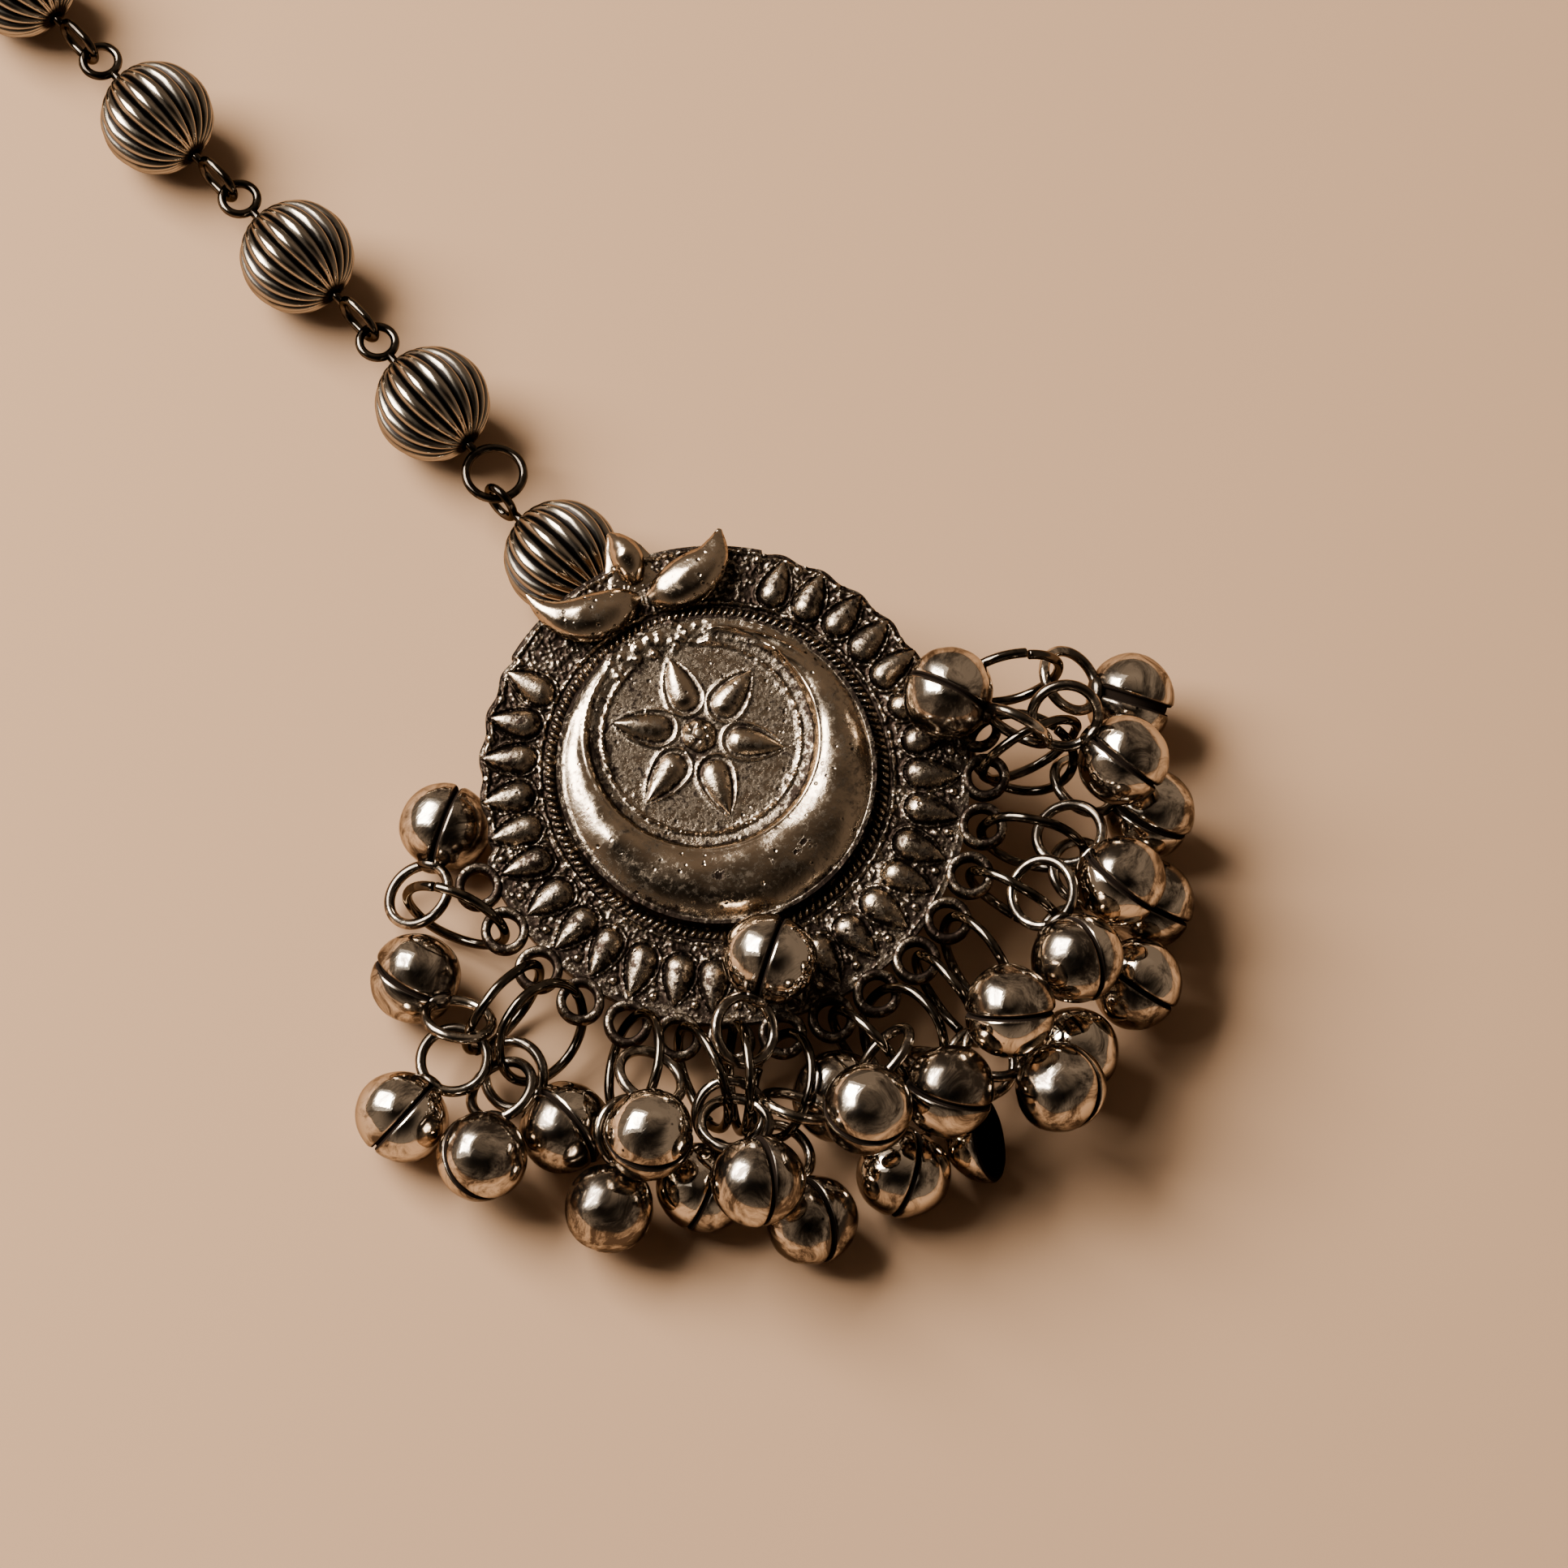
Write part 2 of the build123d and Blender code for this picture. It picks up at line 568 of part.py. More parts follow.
for name, x, y, height, bearing, rise, lower, upper in BEADS:
    middle = np.array([x + PENDANT_X, y + PENDANT_Y, height])
    along = heading(bearing, rise)
    flat = unit(UP - along * along.dot(UP))
    upright = np.cross(along, flat)
    with BuildPart() as bead:
        with Locations(plane(middle, along, flat)):
            Sphere(BEAD_R)
            Sphere(BEAD_R - BEAD_WALL, mode=Mode.SUBTRACT)
            Cylinder(BEAD_HOLE_R, 3 * BEAD_R, mode=Mode.SUBTRACT)
        # flutes from collar to collar
        for flute in range(BEAD_FLUTES):
            turn = 2 * pi * flute / BEAD_FLUTES
            outward = cos(turn) * flat + sin(turn) * upright
            with BuildSketch(plane(middle + FLUTE_SINK * outward, along, outward)):
                with Locations((BEAD_R, 0)):
                    Circle(FLUTE_R)
            revolve(axis=Axis(tuple(middle), tuple(np.cross(along, outward))),
                    revolution_arc=FLUTE_SPAN / 2, mode=Mode.SUBTRACT)
    save(bead, f"bead_{name}")

    with BuildPart() as pin:
        if lower == "long":
            low_reach = BEAD_R + NECK + LONG_EYE_HALF + ROUND_EYE_R
            long_eye(middle - low_reach * along, upright, along)
        else:
            low_r, low_normal = (WIDE_EYE_R, flat) if lower == "wide" else (TALL_EYE_R, upright)
            round_eye(middle - (BEAD_R + NECK + low_r) * along, low_normal, low_r)
        high_reach = BEAD_R + NECK + ROUND_EYE_R
        round_eye(middle + high_reach * along, flat if upper == "round_flat" else upright)
        with Locations(plane(middle, along, flat)):
            Cylinder(PIN_R, 2 * (BEAD_R + NECK))
    save(pin, f"pin_{name}")

# ---- hair hook -------------------------------------------------------------------------------
last = BEADS[-1]
hook_y = last[2] + PENDANT_Y + BEAD_R + NECK + ROUND_EYE_R + HOOK_LINK
hook_eye = np.array([last[1] + PENDANT_X, hook_y, HOOK_EYE_HEIGHT])
fall = heading(90.0, -HOOK_FALL)
sideways = heading(0.0)
hook_plane = plane(hook_eye, np.cross(fall, sideways), fall)
with BuildPart() as hook:
    with BuildLine(hook_plane) as bend:
        start = HOOK_EYE_R
        turn_at = start + HOOK_SHANK
        Line((start, 0), (turn_at, 0))
        ThreePointArc((turn_at, 0), (turn_at + HOOK_BEND_R, HOOK_BEND_R), (turn_at, 2 * HOOK_BEND_R))
        Line((turn_at, 2 * HOOK_BEND_R), (turn_at - HOOK_RETURN, 2 * HOOK_BEND_R))
    with BuildSketch(Plane(origin=bend.line @ 0, z_dir=bend.line % 0)):
        Circle(HOOK_WIRE)
    sweep(path=bend.line)
    with Locations(plane(bend.line @ 1, fall, sideways)):
        Sphere(HOOK_WIRE)
    round_eye(hook_eye, sideways, HOOK_EYE_R, HOOK_WIRE)
save(hook, "hook")
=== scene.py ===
"""Maang tikka of oxidised silver, dressed round its packed solids.

The frame gives where every ring, bell, bead and the casting lie. Each visible surface is worked
out here as grids of points, in millimetres, and put in its place in the row frame.
"""
from math import cos, pi, radians, sin
from types import SimpleNamespace

import bpy
import numpy as np
from mathutils import Matrix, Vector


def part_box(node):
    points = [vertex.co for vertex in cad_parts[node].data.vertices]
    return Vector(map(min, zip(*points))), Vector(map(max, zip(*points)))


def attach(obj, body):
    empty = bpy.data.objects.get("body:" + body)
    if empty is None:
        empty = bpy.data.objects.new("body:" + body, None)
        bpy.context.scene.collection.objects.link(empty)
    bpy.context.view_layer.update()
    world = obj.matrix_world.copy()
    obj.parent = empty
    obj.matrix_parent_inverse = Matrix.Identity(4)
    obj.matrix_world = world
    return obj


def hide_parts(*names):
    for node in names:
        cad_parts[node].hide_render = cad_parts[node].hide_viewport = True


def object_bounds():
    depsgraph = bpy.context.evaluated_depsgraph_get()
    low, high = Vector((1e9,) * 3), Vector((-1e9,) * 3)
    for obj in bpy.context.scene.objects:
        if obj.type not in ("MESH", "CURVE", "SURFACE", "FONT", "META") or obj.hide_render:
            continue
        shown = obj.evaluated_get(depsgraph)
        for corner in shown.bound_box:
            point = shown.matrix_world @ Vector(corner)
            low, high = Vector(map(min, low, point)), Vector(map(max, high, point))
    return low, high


bl_info = {
    "name": "Maang Tikka",
    "version": (1, 0, 0),
    "blender": (4, 5, 0),
    "location": "3D View > Sidebar > Maang Tikka",
    "description": "Builds a cast silver maang tikka with a fringe of bells and a bead chain",
    "category": "Add Mesh",
}

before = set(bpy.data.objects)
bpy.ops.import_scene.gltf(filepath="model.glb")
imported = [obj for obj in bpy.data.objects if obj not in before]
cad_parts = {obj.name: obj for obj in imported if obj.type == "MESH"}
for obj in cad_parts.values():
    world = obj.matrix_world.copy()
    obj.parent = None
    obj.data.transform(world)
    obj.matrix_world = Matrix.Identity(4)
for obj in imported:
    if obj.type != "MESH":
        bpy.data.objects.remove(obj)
cad_low, cad_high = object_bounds()

MM = 0.001
UP = np.array([0.0, 0.0, 1.0])
CROWN_FROM_MIDDLE = (3.9, 18.1, -3.0)     # crown bead from the casting's middle
LUGS = range(-8, 9)
LUG_STEP = radians(11.25)
BAIL_R, BAIL_WIRE, BAIL_SINK = 1.8, 0.4, 0.5
RIB_EDGE = 75.0           # degrees; a bead's edges blunter than this stay smooth
# the eyes at the lower and upper end of each bead's pin
PIN_EYES = {"crown": ("tall", "upright"), "1": ("wide", "flat"), "2": ("long", "flat"),
            "3": ("long", "flat"), "4": ("long", "flat")}


# ---- sizes and colours -------------------------------------------------------------------
def number(name, value, text, **more):
    return bpy.props.FloatProperty(name=name, description=text, default=value, **more)


def size(name, value, text):
    """A length property, given in millimetres."""
    return number(name, value * MM, text, min=0.0, unit="LENGTH", precision=5)


def offset(name, value, text):
    """A length property that may be below zero, given in millimetres."""
    return number(name, value * MM, text, unit="LENGTH", precision=5)


def turn(name, value, text):
    """An angle property, given in degrees."""
    return number(name, radians(value), text, subtype="ANGLE", unit="ROTATION")


def colour(name, value, text):
    return bpy.props.FloatVectorProperty(name=name, description=text, default=value,
                                         subtype="COLOR", size=3, min=0.0, max=1.0)


class TikkaCasting(bpy.types.PropertyGroup):
    """The cast pendant, given across it (u), towards its leaves (v) and out of its face (w)."""
    lean: turn("Lean", 10.0, "Tilt of the face from level")
    lean_to: turn("Leans to", 217.0, "Bearing of the face's low side")
    leaf_bearing: turn("Leaf end", 72.0, "Bearing of the leaf end")
    plate_r: size("Plate radius", 14.4, "Plain edge round the leaf half")
    rim_r: size("Rim radius", 15.0, "Edge round the fringe half")
    lug_v: offset("Rim middle", -0.6, "Middle of the rim and the lugs, along the casting")
    top: offset("Front face", 0.4, "Front face over the middle plane")
    back: offset("Back face", -0.6, "Back face under the middle plane")
    boss_r: size("Dome radius", 9.65, "Foot of the crescent dome")
    boss_rise: size("Dome rise", 2.2, "Crest of the crescent over the plate")
    disc_r: size("Disc radius", 6.0, "Raised line round the dished disc")
    wall_r: size("Crescent's inner edge", 7.05, "Edge from which the crescent falls to the disc")
    disc_u: offset("Disc across", -0.15, "Middle of the disc")
    disc_v: offset("Disc along", 2.1, "Middle of the disc")
    disc_rise: size("Disc rise", 0.60, "Middle of the disc's bed over the plate")
    disc_dish: size("Disc dish", 0.50, "Rise of the disc's bed from its middle to its line")
    flower_u: offset("Flower across", -0.2, "Middle of the flower")
    flower_v: offset("Flower along", 2.3, "Middle of the flower")
    knob_r: size("Knob radius", 1.12, "Whorled knob in the flower's middle")
    petal_head: size("Petal head", 2.5, "Head of a petal from the flower's middle")
    petal_head_r: size("Petal head radius", 1.0, "Roundness of a petal's head")
    petal_tip: size("Petal tip", 5.2, "Tip of a petal from the flower's middle")
    petal_rise: size("Petal rise", 0.82, "Height of a petal over the disc's bed")
    rope_r: size("Rope radius", 10.1, "Twisted line round the dome")
    rope_wire: size("Rope wire", 0.31, "Half width of the twisted line")
    drop_v: offset("Drop ring middle", -0.45, "Middle of the ring of drops")
    drop_head: size("Drop head", 12.1, "Head of a drop from that middle")
    drop_head_r: size("Drop head radius", 0.9, "Roundness of a drop's head")
    drop_tip: size("Drop tip", 14.5, "Tip of a drop from that middle")
    drop_rise: size("Drop rise", 0.75, "Height of a drop")
    scallop: size("Scallops", 0.25, "Depth of the edge's hollows between the drops")
    lug_ring: size("Lug ring", 16.0, "Middles of the lugs")
    lug_r: size("Lug radius", 1.47, "Outside of a lug")
    lug_hole_r: size("Lug hole radius", 0.87, "Hole through a lug")
    lug_half: size("Lug half height", 0.58, "Half the length of a lug's tube")


class TikkaFringe(bpy.types.PropertyGroup):
    """Jump rings and bells."""
    ring_r: size("Ring radius", 3.2, "Middle of a jump ring's wire")
    ring_wire: size("Ring wire", 0.3, "Radius of a jump ring's wire")
    ring_slit: size("Ring slit", 0.12, "Gap between a jump ring's cut ends")
    bell_r: size("Bell radius", 2.7, "Outside of a bell's cups")
    bell_wall: size("Bell wall", 0.3, "Thickness of a cup at its lip")
    cup_lip: size("Cup lip", 0.08, "Straight lip of each cup at the seam")
    eye_r: size("Eye radius", 2.0, "Middle of a bell's eye wire")
    eye_wire: size("Eye wire", 0.33, "Radius of a bell's eye wire")
    eye_reach: size("Eye reach", 4.65, "Bell's middle to its eye's middle")
    dent: size("Dents", 0.05, "Depth of the soft dents in a cup")


class TikkaChain(bpy.types.PropertyGroup):
    """Beads, eyed pins and the hair hook."""
    bead_r: size("Bead radius", 3.6, "Outside of a bead's ribs")
    bead_hole_r: size("Bead hole", 0.5, "Hole through a bead")
    flute_depth: size("Flute depth", 0.42, "Depth of the grooves between a bead's ribs")
    ribs: bpy.props.IntProperty(name="Ribs", description="Ribs round a bead", default=20, min=8)
    pin_wire: size("Pin wire", 0.275, "Radius of the eyed pins' wire")
    eye_r: size("Eye radius", 1.12, "Round eye of a pin")
    long_half: size("Long eye", 0.4, "Half the straight of a long eye")
    wide_r: size("Wide eye", 1.8, "First bead's flat lower eye")
    tall_r: size("Tall eye", 1.45, "Crown bead's upright lower eye, round the bail")
    neck: size("Neck", 0.8, "Wire between a bead and its pin's eye")
    hook_wire: size("Hook wire", 0.35, "Radius of the hook's wire")
    hook_eye_r: size("Hook eye", 1.2, "Hook's eye")
    hook_shank: size("Hook shank", 9.0, "Straight from the eye to the bend")
    hook_bend_r: size("Hook bend", 1.9, "Radius of the hook's bend")
    hook_return: size("Hook return", 5.5, "Straight back from the bend")
    hook_fall: turn("Hook fall", 14.5, "Slope of the hook down to the table")


class TikkaFinish(bpy.types.PropertyGroup):
    """Colours of the metal and the floor."""
    cast_bright: colour("Cast metal", (0.44, 0.345, 0.25), "Rubbed faces of the casting")
    # the casting's patina, and on the bells the pin pricks and the painted black shade inside
    dark_patina_and_shade: colour("Cast patina", (0.018, 0.012, 0.009), "Patina in the casting's hollows")
    bell_bright: colour("Bell metal", (0.70, 0.605, 0.495), "Pressed cups")
    # tarnish on the cups, and the painted shade at their lips and towards their eyes
    bell_tarnish_and_shade: colour("Bell tarnish", (0.065, 0.05, 0.038), "Tarnish on the cups")
    bead_bright: colour("Bead ribs", (0.38, 0.325, 0.26), "Polished ribs of the beads")
    bead_dark: colour("Bead flutes", (0.012, 0.010, 0.009), "Black between the ribs")
    wire_bright: colour("Wire", (0.17, 0.14, 0.108), "Drawn wire")
    wire_dark: colour("Wire tarnish", (0.02, 0.016, 0.013), "Tarnish on the wire")
    patina: number("Patina", 0.75, "How far the patina spreads out of the hollows", min=0.0,
                   max=1.0, subtype="FACTOR")
    floor: colour("Floor", (0.315, 0.193, 0.112), "Plain floor")


class TikkaStudio(bpy.types.PropertyGroup):
    """Camera and lights."""
    bearing: turn("View bearing", 37.22, "Level direction in which the camera looks")
    tilt: turn("View tilt", 25.8, "Camera's line from straight down")
    roll: turn("View roll", -10.9, "Camera's turn about its line")
    distance: size("Distance", 387.15, "Camera to the point it aims at")
    aim_x: offset("Aim across", 7.09, "Point on the floor the camera aims at")
    aim_y: offset("Aim along", -30.98, "Point on the floor the camera aims at")
    lens: number("Lens", 144.28, "Focal length", unit="CAMERA")
    key_power: number("Window", 15.5, "Power of the window light", unit="POWER")
    room: number("Room", 0.25, "Brightness of the room's sides", min=0.0)
    ceiling: number("Ceiling", 0.10, "Brightness over the table", min=0.0)
    shade: number("Shade", 0.012, "Brightness round the camera", min=0.0)


def in_mm(group):
    """A property group's values, with its lengths in millimetres."""
    values = {}
    for key, prop in group.bl_rna.properties.items():
        if key in ("rna_type", "name"):
            continue
        value = getattr(group, key)
        values[key] = value / MM if getattr(prop, "unit", "") == "LENGTH" else value
    return SimpleNamespace(**values)


# ---- directions, waves and curves ----------------------------------------------------------
def unit(vectors):
    return vectors / np.linalg.norm(vectors, axis=-1, keepdims=True)


def heading(bearing, rise=0.0):
    """Unit direction on a level bearing, raised by an angle, both in radians."""
    return np.array([cos(rise) * cos(bearing), cos(rise) * sin(bearing), sin(rise)])


def ramp(low, high, value):
    """0 below low, 1 above high, and 3t^2 - 2t^3 between."""
    t = np.clip((value - low) / (high - low), 0.0, 1.0)
    return t * t * (3.0 - 2.0 * t)


def ridge(value, middle, width):
    """1 at the middle, and e to the minus square of the way from it, in widths, beside it."""
    return np.exp(-((value - middle) / width) ** 2)


def bulge(away, radius=1.0):
    """Height of a ball over its middle, and 0 outside it."""
    return np.sqrt(np.clip(radius ** 2 - away ** 2, 0.0, None))


def ripple(points, length, seed, waves=14):
    """Soft unevenness from about -1 to 1: the mean of sine waves about so long, which run in
    seeded directions and start at seeded phases."""
    draw = np.random.default_rng(seed)
    ways = draw.normal(size=(waves, points.shape[-1]))
    lengths = np.linalg.norm(ways, axis=1)[:, None]
    ways *= 2 * pi / length * draw.uniform(0.6, 1.6, waves)[:, None]
    ways /= lengths
    phases = draw.uniform(0, 2 * pi, waves)
    return np.sin(points @ ways.T + phases).sum(-1) / waves ** 0.5


def turns(count):
    """Angles evenly spaced round a circle."""
    return np.linspace(0, 2 * pi, count, endpoint=False)


def round_way(angle, first, second):
    """Directions at angles from one direction towards another that is square to it."""
    return np.cos(angle) * first + np.sin(angle) * second


def smooth_rows(rows, count):
    """More rows between those of a table, on a curve through them: each span is the cubic whose
    slopes at its ends are half the step from the row before to the row after."""
    rows = np.array(rows, float)
    ends = np.vstack([2 * rows[0] - rows[1], rows, 2 * rows[-1] - rows[-2]])
    place = np.linspace(0, len(rows) - 1, count)
    span = np.minimum(place.astype(int), len(rows) - 2)
    t = (place - span)[:, None]
    before, here, there, after = (ends[span + step] for step in range(4))
    return 0.5 * (2 * here + (there - before) * t
                  + (2 * before - 5 * here + 4 * there - after) * t ** 2
                  + (3 * here - before - 3 * there + after) * t ** 3)


# ---- skins ---------------------------------------------------------------------------------
class Skin:
    """Closed surfaces gathered for one piece: points in millimetres, faces, and how deep in a
    hollow each point lies, from 0 (proud) to 1 (deep). The finishes darken by it: patina, and on
    the bells and the lugs' backs painted shade too."""

    def __init__(self):
        self.points, self.hollow, self.quads, self.tris = [], [], [], []
        self.count = 0

    def put(self, points, hollow):
        points = points.reshape(-1, 3)
        start = self.count
        self.points.append(points)
        self.hollow.append(np.broadcast_to(np.asarray(hollow, float).ravel(), (len(points),)))
        self.count += len(points)
        return start

    def grid(self, points, hollow=0.0, loop=False):
        """Adds a surface from (rows, columns) points. The last column joins the first. The last
        row joins the first in a loop, or else each end row closes on a point in its middle.
        The faces are turned outwards by the sign of the volume they enclose."""
        rows, columns = points.shape[:2]
        hollow = np.broadcast_to(hollow, (rows, columns))
        index = self.put(points, hollow) + np.arange(rows * columns).reshape(rows, columns)
        upper = index if loop else index[:-1]
        lower = np.roll(index, -1, 0) if loop else index[1:]
        quads = np.stack([upper, np.roll(upper, -1, 1), np.roll(lower, -1, 1), lower], -1)
        quads = quads.reshape(-1, 4)
        tris = np.empty((0, 3), int)
        if not loop:
            first = self.put(points[0].mean(0), hollow[0].mean())
            last = self.put(points[-1].mean(0), hollow[-1].mean())
            tris = np.vstack([
                np.stack([np.full(columns, first), np.roll(index[0], -1), index[0]], -1),
                np.stack([np.full(columns, last), index[-1], np.roll(index[-1], -1)], -1)])
        every = np.concatenate(self.points)
        corners = np.vstack([quads[:, :3], quads[:, [0, 2, 3]], tris])
        a, b, c = (every[corners[:, side]] - points[0, 0] for side in range(3))
        if (a * np.cross(b, c)).sum() < 0:
            quads, tris = quads[:, ::-1], tris[:, ::-1]
        self.quads.append(quads)
        self.tris.append(tris)

    def piece(self, name, nodes, slot, sharp=50.0):
        """Makes the piece: it rides on the root body and stands for the CAD nodes named."""
        points = np.concatenate(self.points) * MM
        quads, tris = np.concatenate(self.quads), np.concatenate(self.tris)
        mesh = bpy.data.meshes.new(name)
        mesh.vertices.add(len(points))
        mesh.vertices.foreach_set("co", points.astype(np.float32).ravel())
        corners = np.concatenate([quads.ravel(), tris.ravel()])
        mesh.loops.add(len(corners))
        mesh.loops.foreach_set("vertex_index", corners.astype(np.int32))
        starts = np.concatenate([np.arange(len(quads)) * 4,
                                 quads.size + np.arange(len(tris)) * 3])
        mesh.polygons.add(len(starts))
        mesh.polygons.foreach_set("loop_start", starts.astype(np.int32))
        mesh.update(calc_edges=True)
        mesh.validate()
        mesh.shade_smooth()
        mesh.set_sharp_from_angle(angle=radians(sharp))
        layer = mesh.attributes.new("hollow", "FLOAT", "POINT")
        layer.data.foreach_set("value", np.concatenate(self.hollow).astype(np.float32))
        mesh.materials.append(finish_for(slot))
        piece = bpy.data.objects.new(name, mesh)
        bpy.context.scene.collection.objects.link(piece)
        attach(piece, "root")
        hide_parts(*nodes)


def circle(middle, normal, first, radius, count, start=0.0, span=2 * pi):
    """Points round a circle from the direction first, open unless it goes all the way."""
    angle = start + np.linspace(0, span, count, endpoint=span < 2 * pi)[:, None]
    return middle + radius * round_way(angle, first, np.cross(normal, first))


def tube(path, normal, radius, sides=14, loop=True):
    """Round wire along a flat path: round each of its points a circle is drawn with the path's
    own sideways direction and the plane's normal. Open wire ends in a face with a small round."""
    if not loop:
        start, end = unit(path[0] - path[1]), unit(path[-1] - path[-2])
        path = np.vstack([path[0], path[0] - 0.15 * radius * start, path[1:-1],
                          path[-1] - 0.15 * radius * end, path[-1]])
    radii = np.full(len(path), radius)
    ahead = np.roll(path, -1, 0) - np.roll(path, 1, 0)
    if not loop:
        radii[[0, -1]] = 0.82 * radius
        ahead[0], ahead[-1] = path[1] - path[0], path[-1] - path[-2]
    ahead = unit(ahead)
    side = unit(np.cross(ahead, normal))
    out = round_way(turns(sides)[None, :, None], side[:, None], np.cross(side, ahead)[:, None])
    return path[:, None] + radii[:, None, None] * out


# ---- reading the frame ---------------------------------------------------------------------
def node_triangles(name):
    """A node's triangles as their corners, in millimetres."""
    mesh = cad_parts[name].data
    mesh.calc_loop_triangles()
    corners = np.empty(len(mesh.loop_triangles) * 3, np.int32)
    mesh.loop_triangles.foreach_get("vertices", corners)
    points = np.empty(len(mesh.vertices) * 3, np.float32)
    mesh.vertices.foreach_get("co", points)
    return points.reshape(-1, 3)[corners].reshape(-1, 3, 3).astype(float) / MM


def facings(triangles):
    """Each triangle's normal, and twice its area."""
    turned = np.cross(triangles[:, 1] - triangles[:, 0], triangles[:, 2] - triangles[:, 0])
    area = np.linalg.norm(turned, axis=1)
    return turned / np.maximum(area, 1e-12)[:, None], area


def spread_axes(ways, weights):
    """Directions of a weighted spread, the one with the least of it first."""
    return np.linalg.eigh((ways * weights[:, None]).T @ ways)[1].T


def loose_solids(triangles):
    """Splits a node's triangles into its solids. Corners in one place are one point. Each point
    takes the lowest number among the points that share a triangle with it, over and over, until
    every solid has one number."""
    place = np.round(triangles.reshape(-1, 3), 3)
    point = np.unique(place, axis=0, return_inverse=True)[1].reshape(-1, 3)
    label = np.arange(point.max() + 1)
    while True:
        lower = label.copy()
        np.minimum.at(lower, point, label[point].min(1)[:, None])
        lower = lower[lower]
        if (lower == label).all():
            break
        label = lower
    owner = label[point[:, 0]]
    return [triangles[owner == number] for number in np.unique(owner)]


def middle_and_axes(triangles):
    """A surface's middle, weighted by area, and its own directions, the flattest first."""
    middles, area = triangles.mean(1), facings(triangles)[1]
    middle = (middles * area[:, None]).sum(0) / area.sum()
    return middle, spread_axes(middles - middle, area)


def box_middle(name):
    low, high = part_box(name)
    return np.array((low + high) / 2) / MM


def casting_frame(sizes):
    """The casting's middle and its directions across, towards the leaves and out of its face."""
    middle = box_middle("bead_crown") - np.array(CROWN_FROM_MIDDLE)
    normal = heading(sizes.lean_to, pi / 2 - sizes.lean)
    level = heading(sizes.leaf_bearing)
    leafward = unit(level - normal * level.dot(normal))
    return SimpleNamespace(middle=middle, across=np.cross(leafward, normal), leafward=leafward,
                           normal=normal)


def on_casting(place, u, v, w):
    """Points given over the casting, in the row frame."""
    u, v, w = np.broadcast_arrays(u, v, w)
    return (place.middle + u[..., None] * place.across + v[..., None] * place.leafward
            + w[..., None] * place.normal)


FIT_SHELLS = (1.0, 0.6, 0.3, 0.15)        # a bell's middle is fitted to ever thinner shells
EYE_BEYOND = 0.8          # its eye is what lies this far outside the cups or farther
LIP_WIDTH = 0.32          # its lips lie this far within the cups' outside or less
LIP_SLANT = 0.12          # cosine between a lip's normal and the way to it, at most
CLEAR_OF_NECK = 0.7       # the lips are read up to this share of the radius towards the eye
ONE_CUP = 0.5             # a bell has one cup when its surface lies this far to one side


def bell_frame(name, sizes):
    """Where a bell lies, from its solid's triangles, each counted by its area. Its middle fits a
    sphere to the cups. Its eye is what lies well beyond them. The lips are the flat rings square
    to the sphere, and the seam's normal is theirs."""
    triangles = node_triangles(name)
    places = triangles.mean(1)
    turned, area = facings(triangles)
    middle = np.average(places, axis=0, weights=area)
    for reach in FIT_SHELLS:
        shell = np.abs(np.linalg.norm(places - middle, axis=1) - sizes.bell_r) < reach
        weight = np.sqrt(area[shell])[:, None]
        known = (places[shell] ** 2).sum(1) * weight[:, 0]
        sought = np.c_[2 * places[shell], np.ones(shell.sum())] * weight
        middle = np.linalg.lstsq(sought, known, rcond=None)[0][:3]
    away = places - middle
    radius = np.linalg.norm(away, axis=1)
    eye = radius > sizes.bell_r + EYE_BEYOND
    ahead = np.average(away[eye], axis=0, weights=area[eye])
    eye_normal = spread_axes(away[eye] - ahead, area[eye])[0]
    axis = unit(ahead)
    axis = unit(axis - eye_normal * axis.dot(eye_normal))
    lips = ((radius > sizes.bell_r - LIP_WIDTH) & (radius < sizes.bell_r + 0.02)
            & (np.abs((turned * away).sum(1)) < LIP_SLANT * radius)
            & (away @ axis < CLEAR_OF_NECK * sizes.bell_r))
    seam = spread_axes(turned[lips], area[lips])[2]
    cups = radius < sizes.bell_r + 0.15
    lean = np.average(away[cups] @ seam, weights=area[cups])
    sides = [np.sign(lean)] if abs(lean) > ONE_CUP else [1.0, -1.0]
    start = away[lips] @ seam
    start = np.average(start * sides[0] if len(sides) == 1 else np.abs(start),
                       weights=area[lips])
    return SimpleNamespace(middle=middle, axis=axis, eye_normal=eye_normal, seam=seam,
                           start=start, sides=sides)


# ---- finishes ------------------------------------------------------------------------------
class Nodes:
    """A node tree being laid out. Each call adds a node and gives its output."""

    def __init__(self, tree, places):
        self.tree = tree
        self.places = self.node("TexCoord", places)

    def node(self, kind, output, inputs=None, **settings):
        """Adds a node, with its settings and with its inputs linked or set to plain values."""
        node = self.tree.nodes.new("ShaderNode" + kind)
        for key, value in settings.items():
            setattr(node, key, value)
        for key, value in (inputs or {}).items():
            self.feed(value, node.inputs[key])
        return node.outputs[output]

    def feed(self, value, socket):
        if isinstance(value, bpy.types.NodeSocket):
            self.tree.links.new(value, socket)
        else:
            socket.default_value = value

    def maths(self, kind, a, b):
        return self.node("Math", 0, {0: a, 1: b}, operation=kind)

    def plus(self, a, b):
        return self.maths("ADD", a, b)

    def times(self, a, b):
        return self.maths("MULTIPLY", a, b)

    def fit(self, value, low, high, to_low=0.0, to_high=1.0, curve="LINEAR"):
        """Fits a value from one range into another, and holds it there."""
        return self.node("MapRange", "Result", {
            "Value": value, "From Min": low, "From Max": high, "To Min": to_low,
            "To Max": to_high}, clamp=True, interpolation_type=curve)


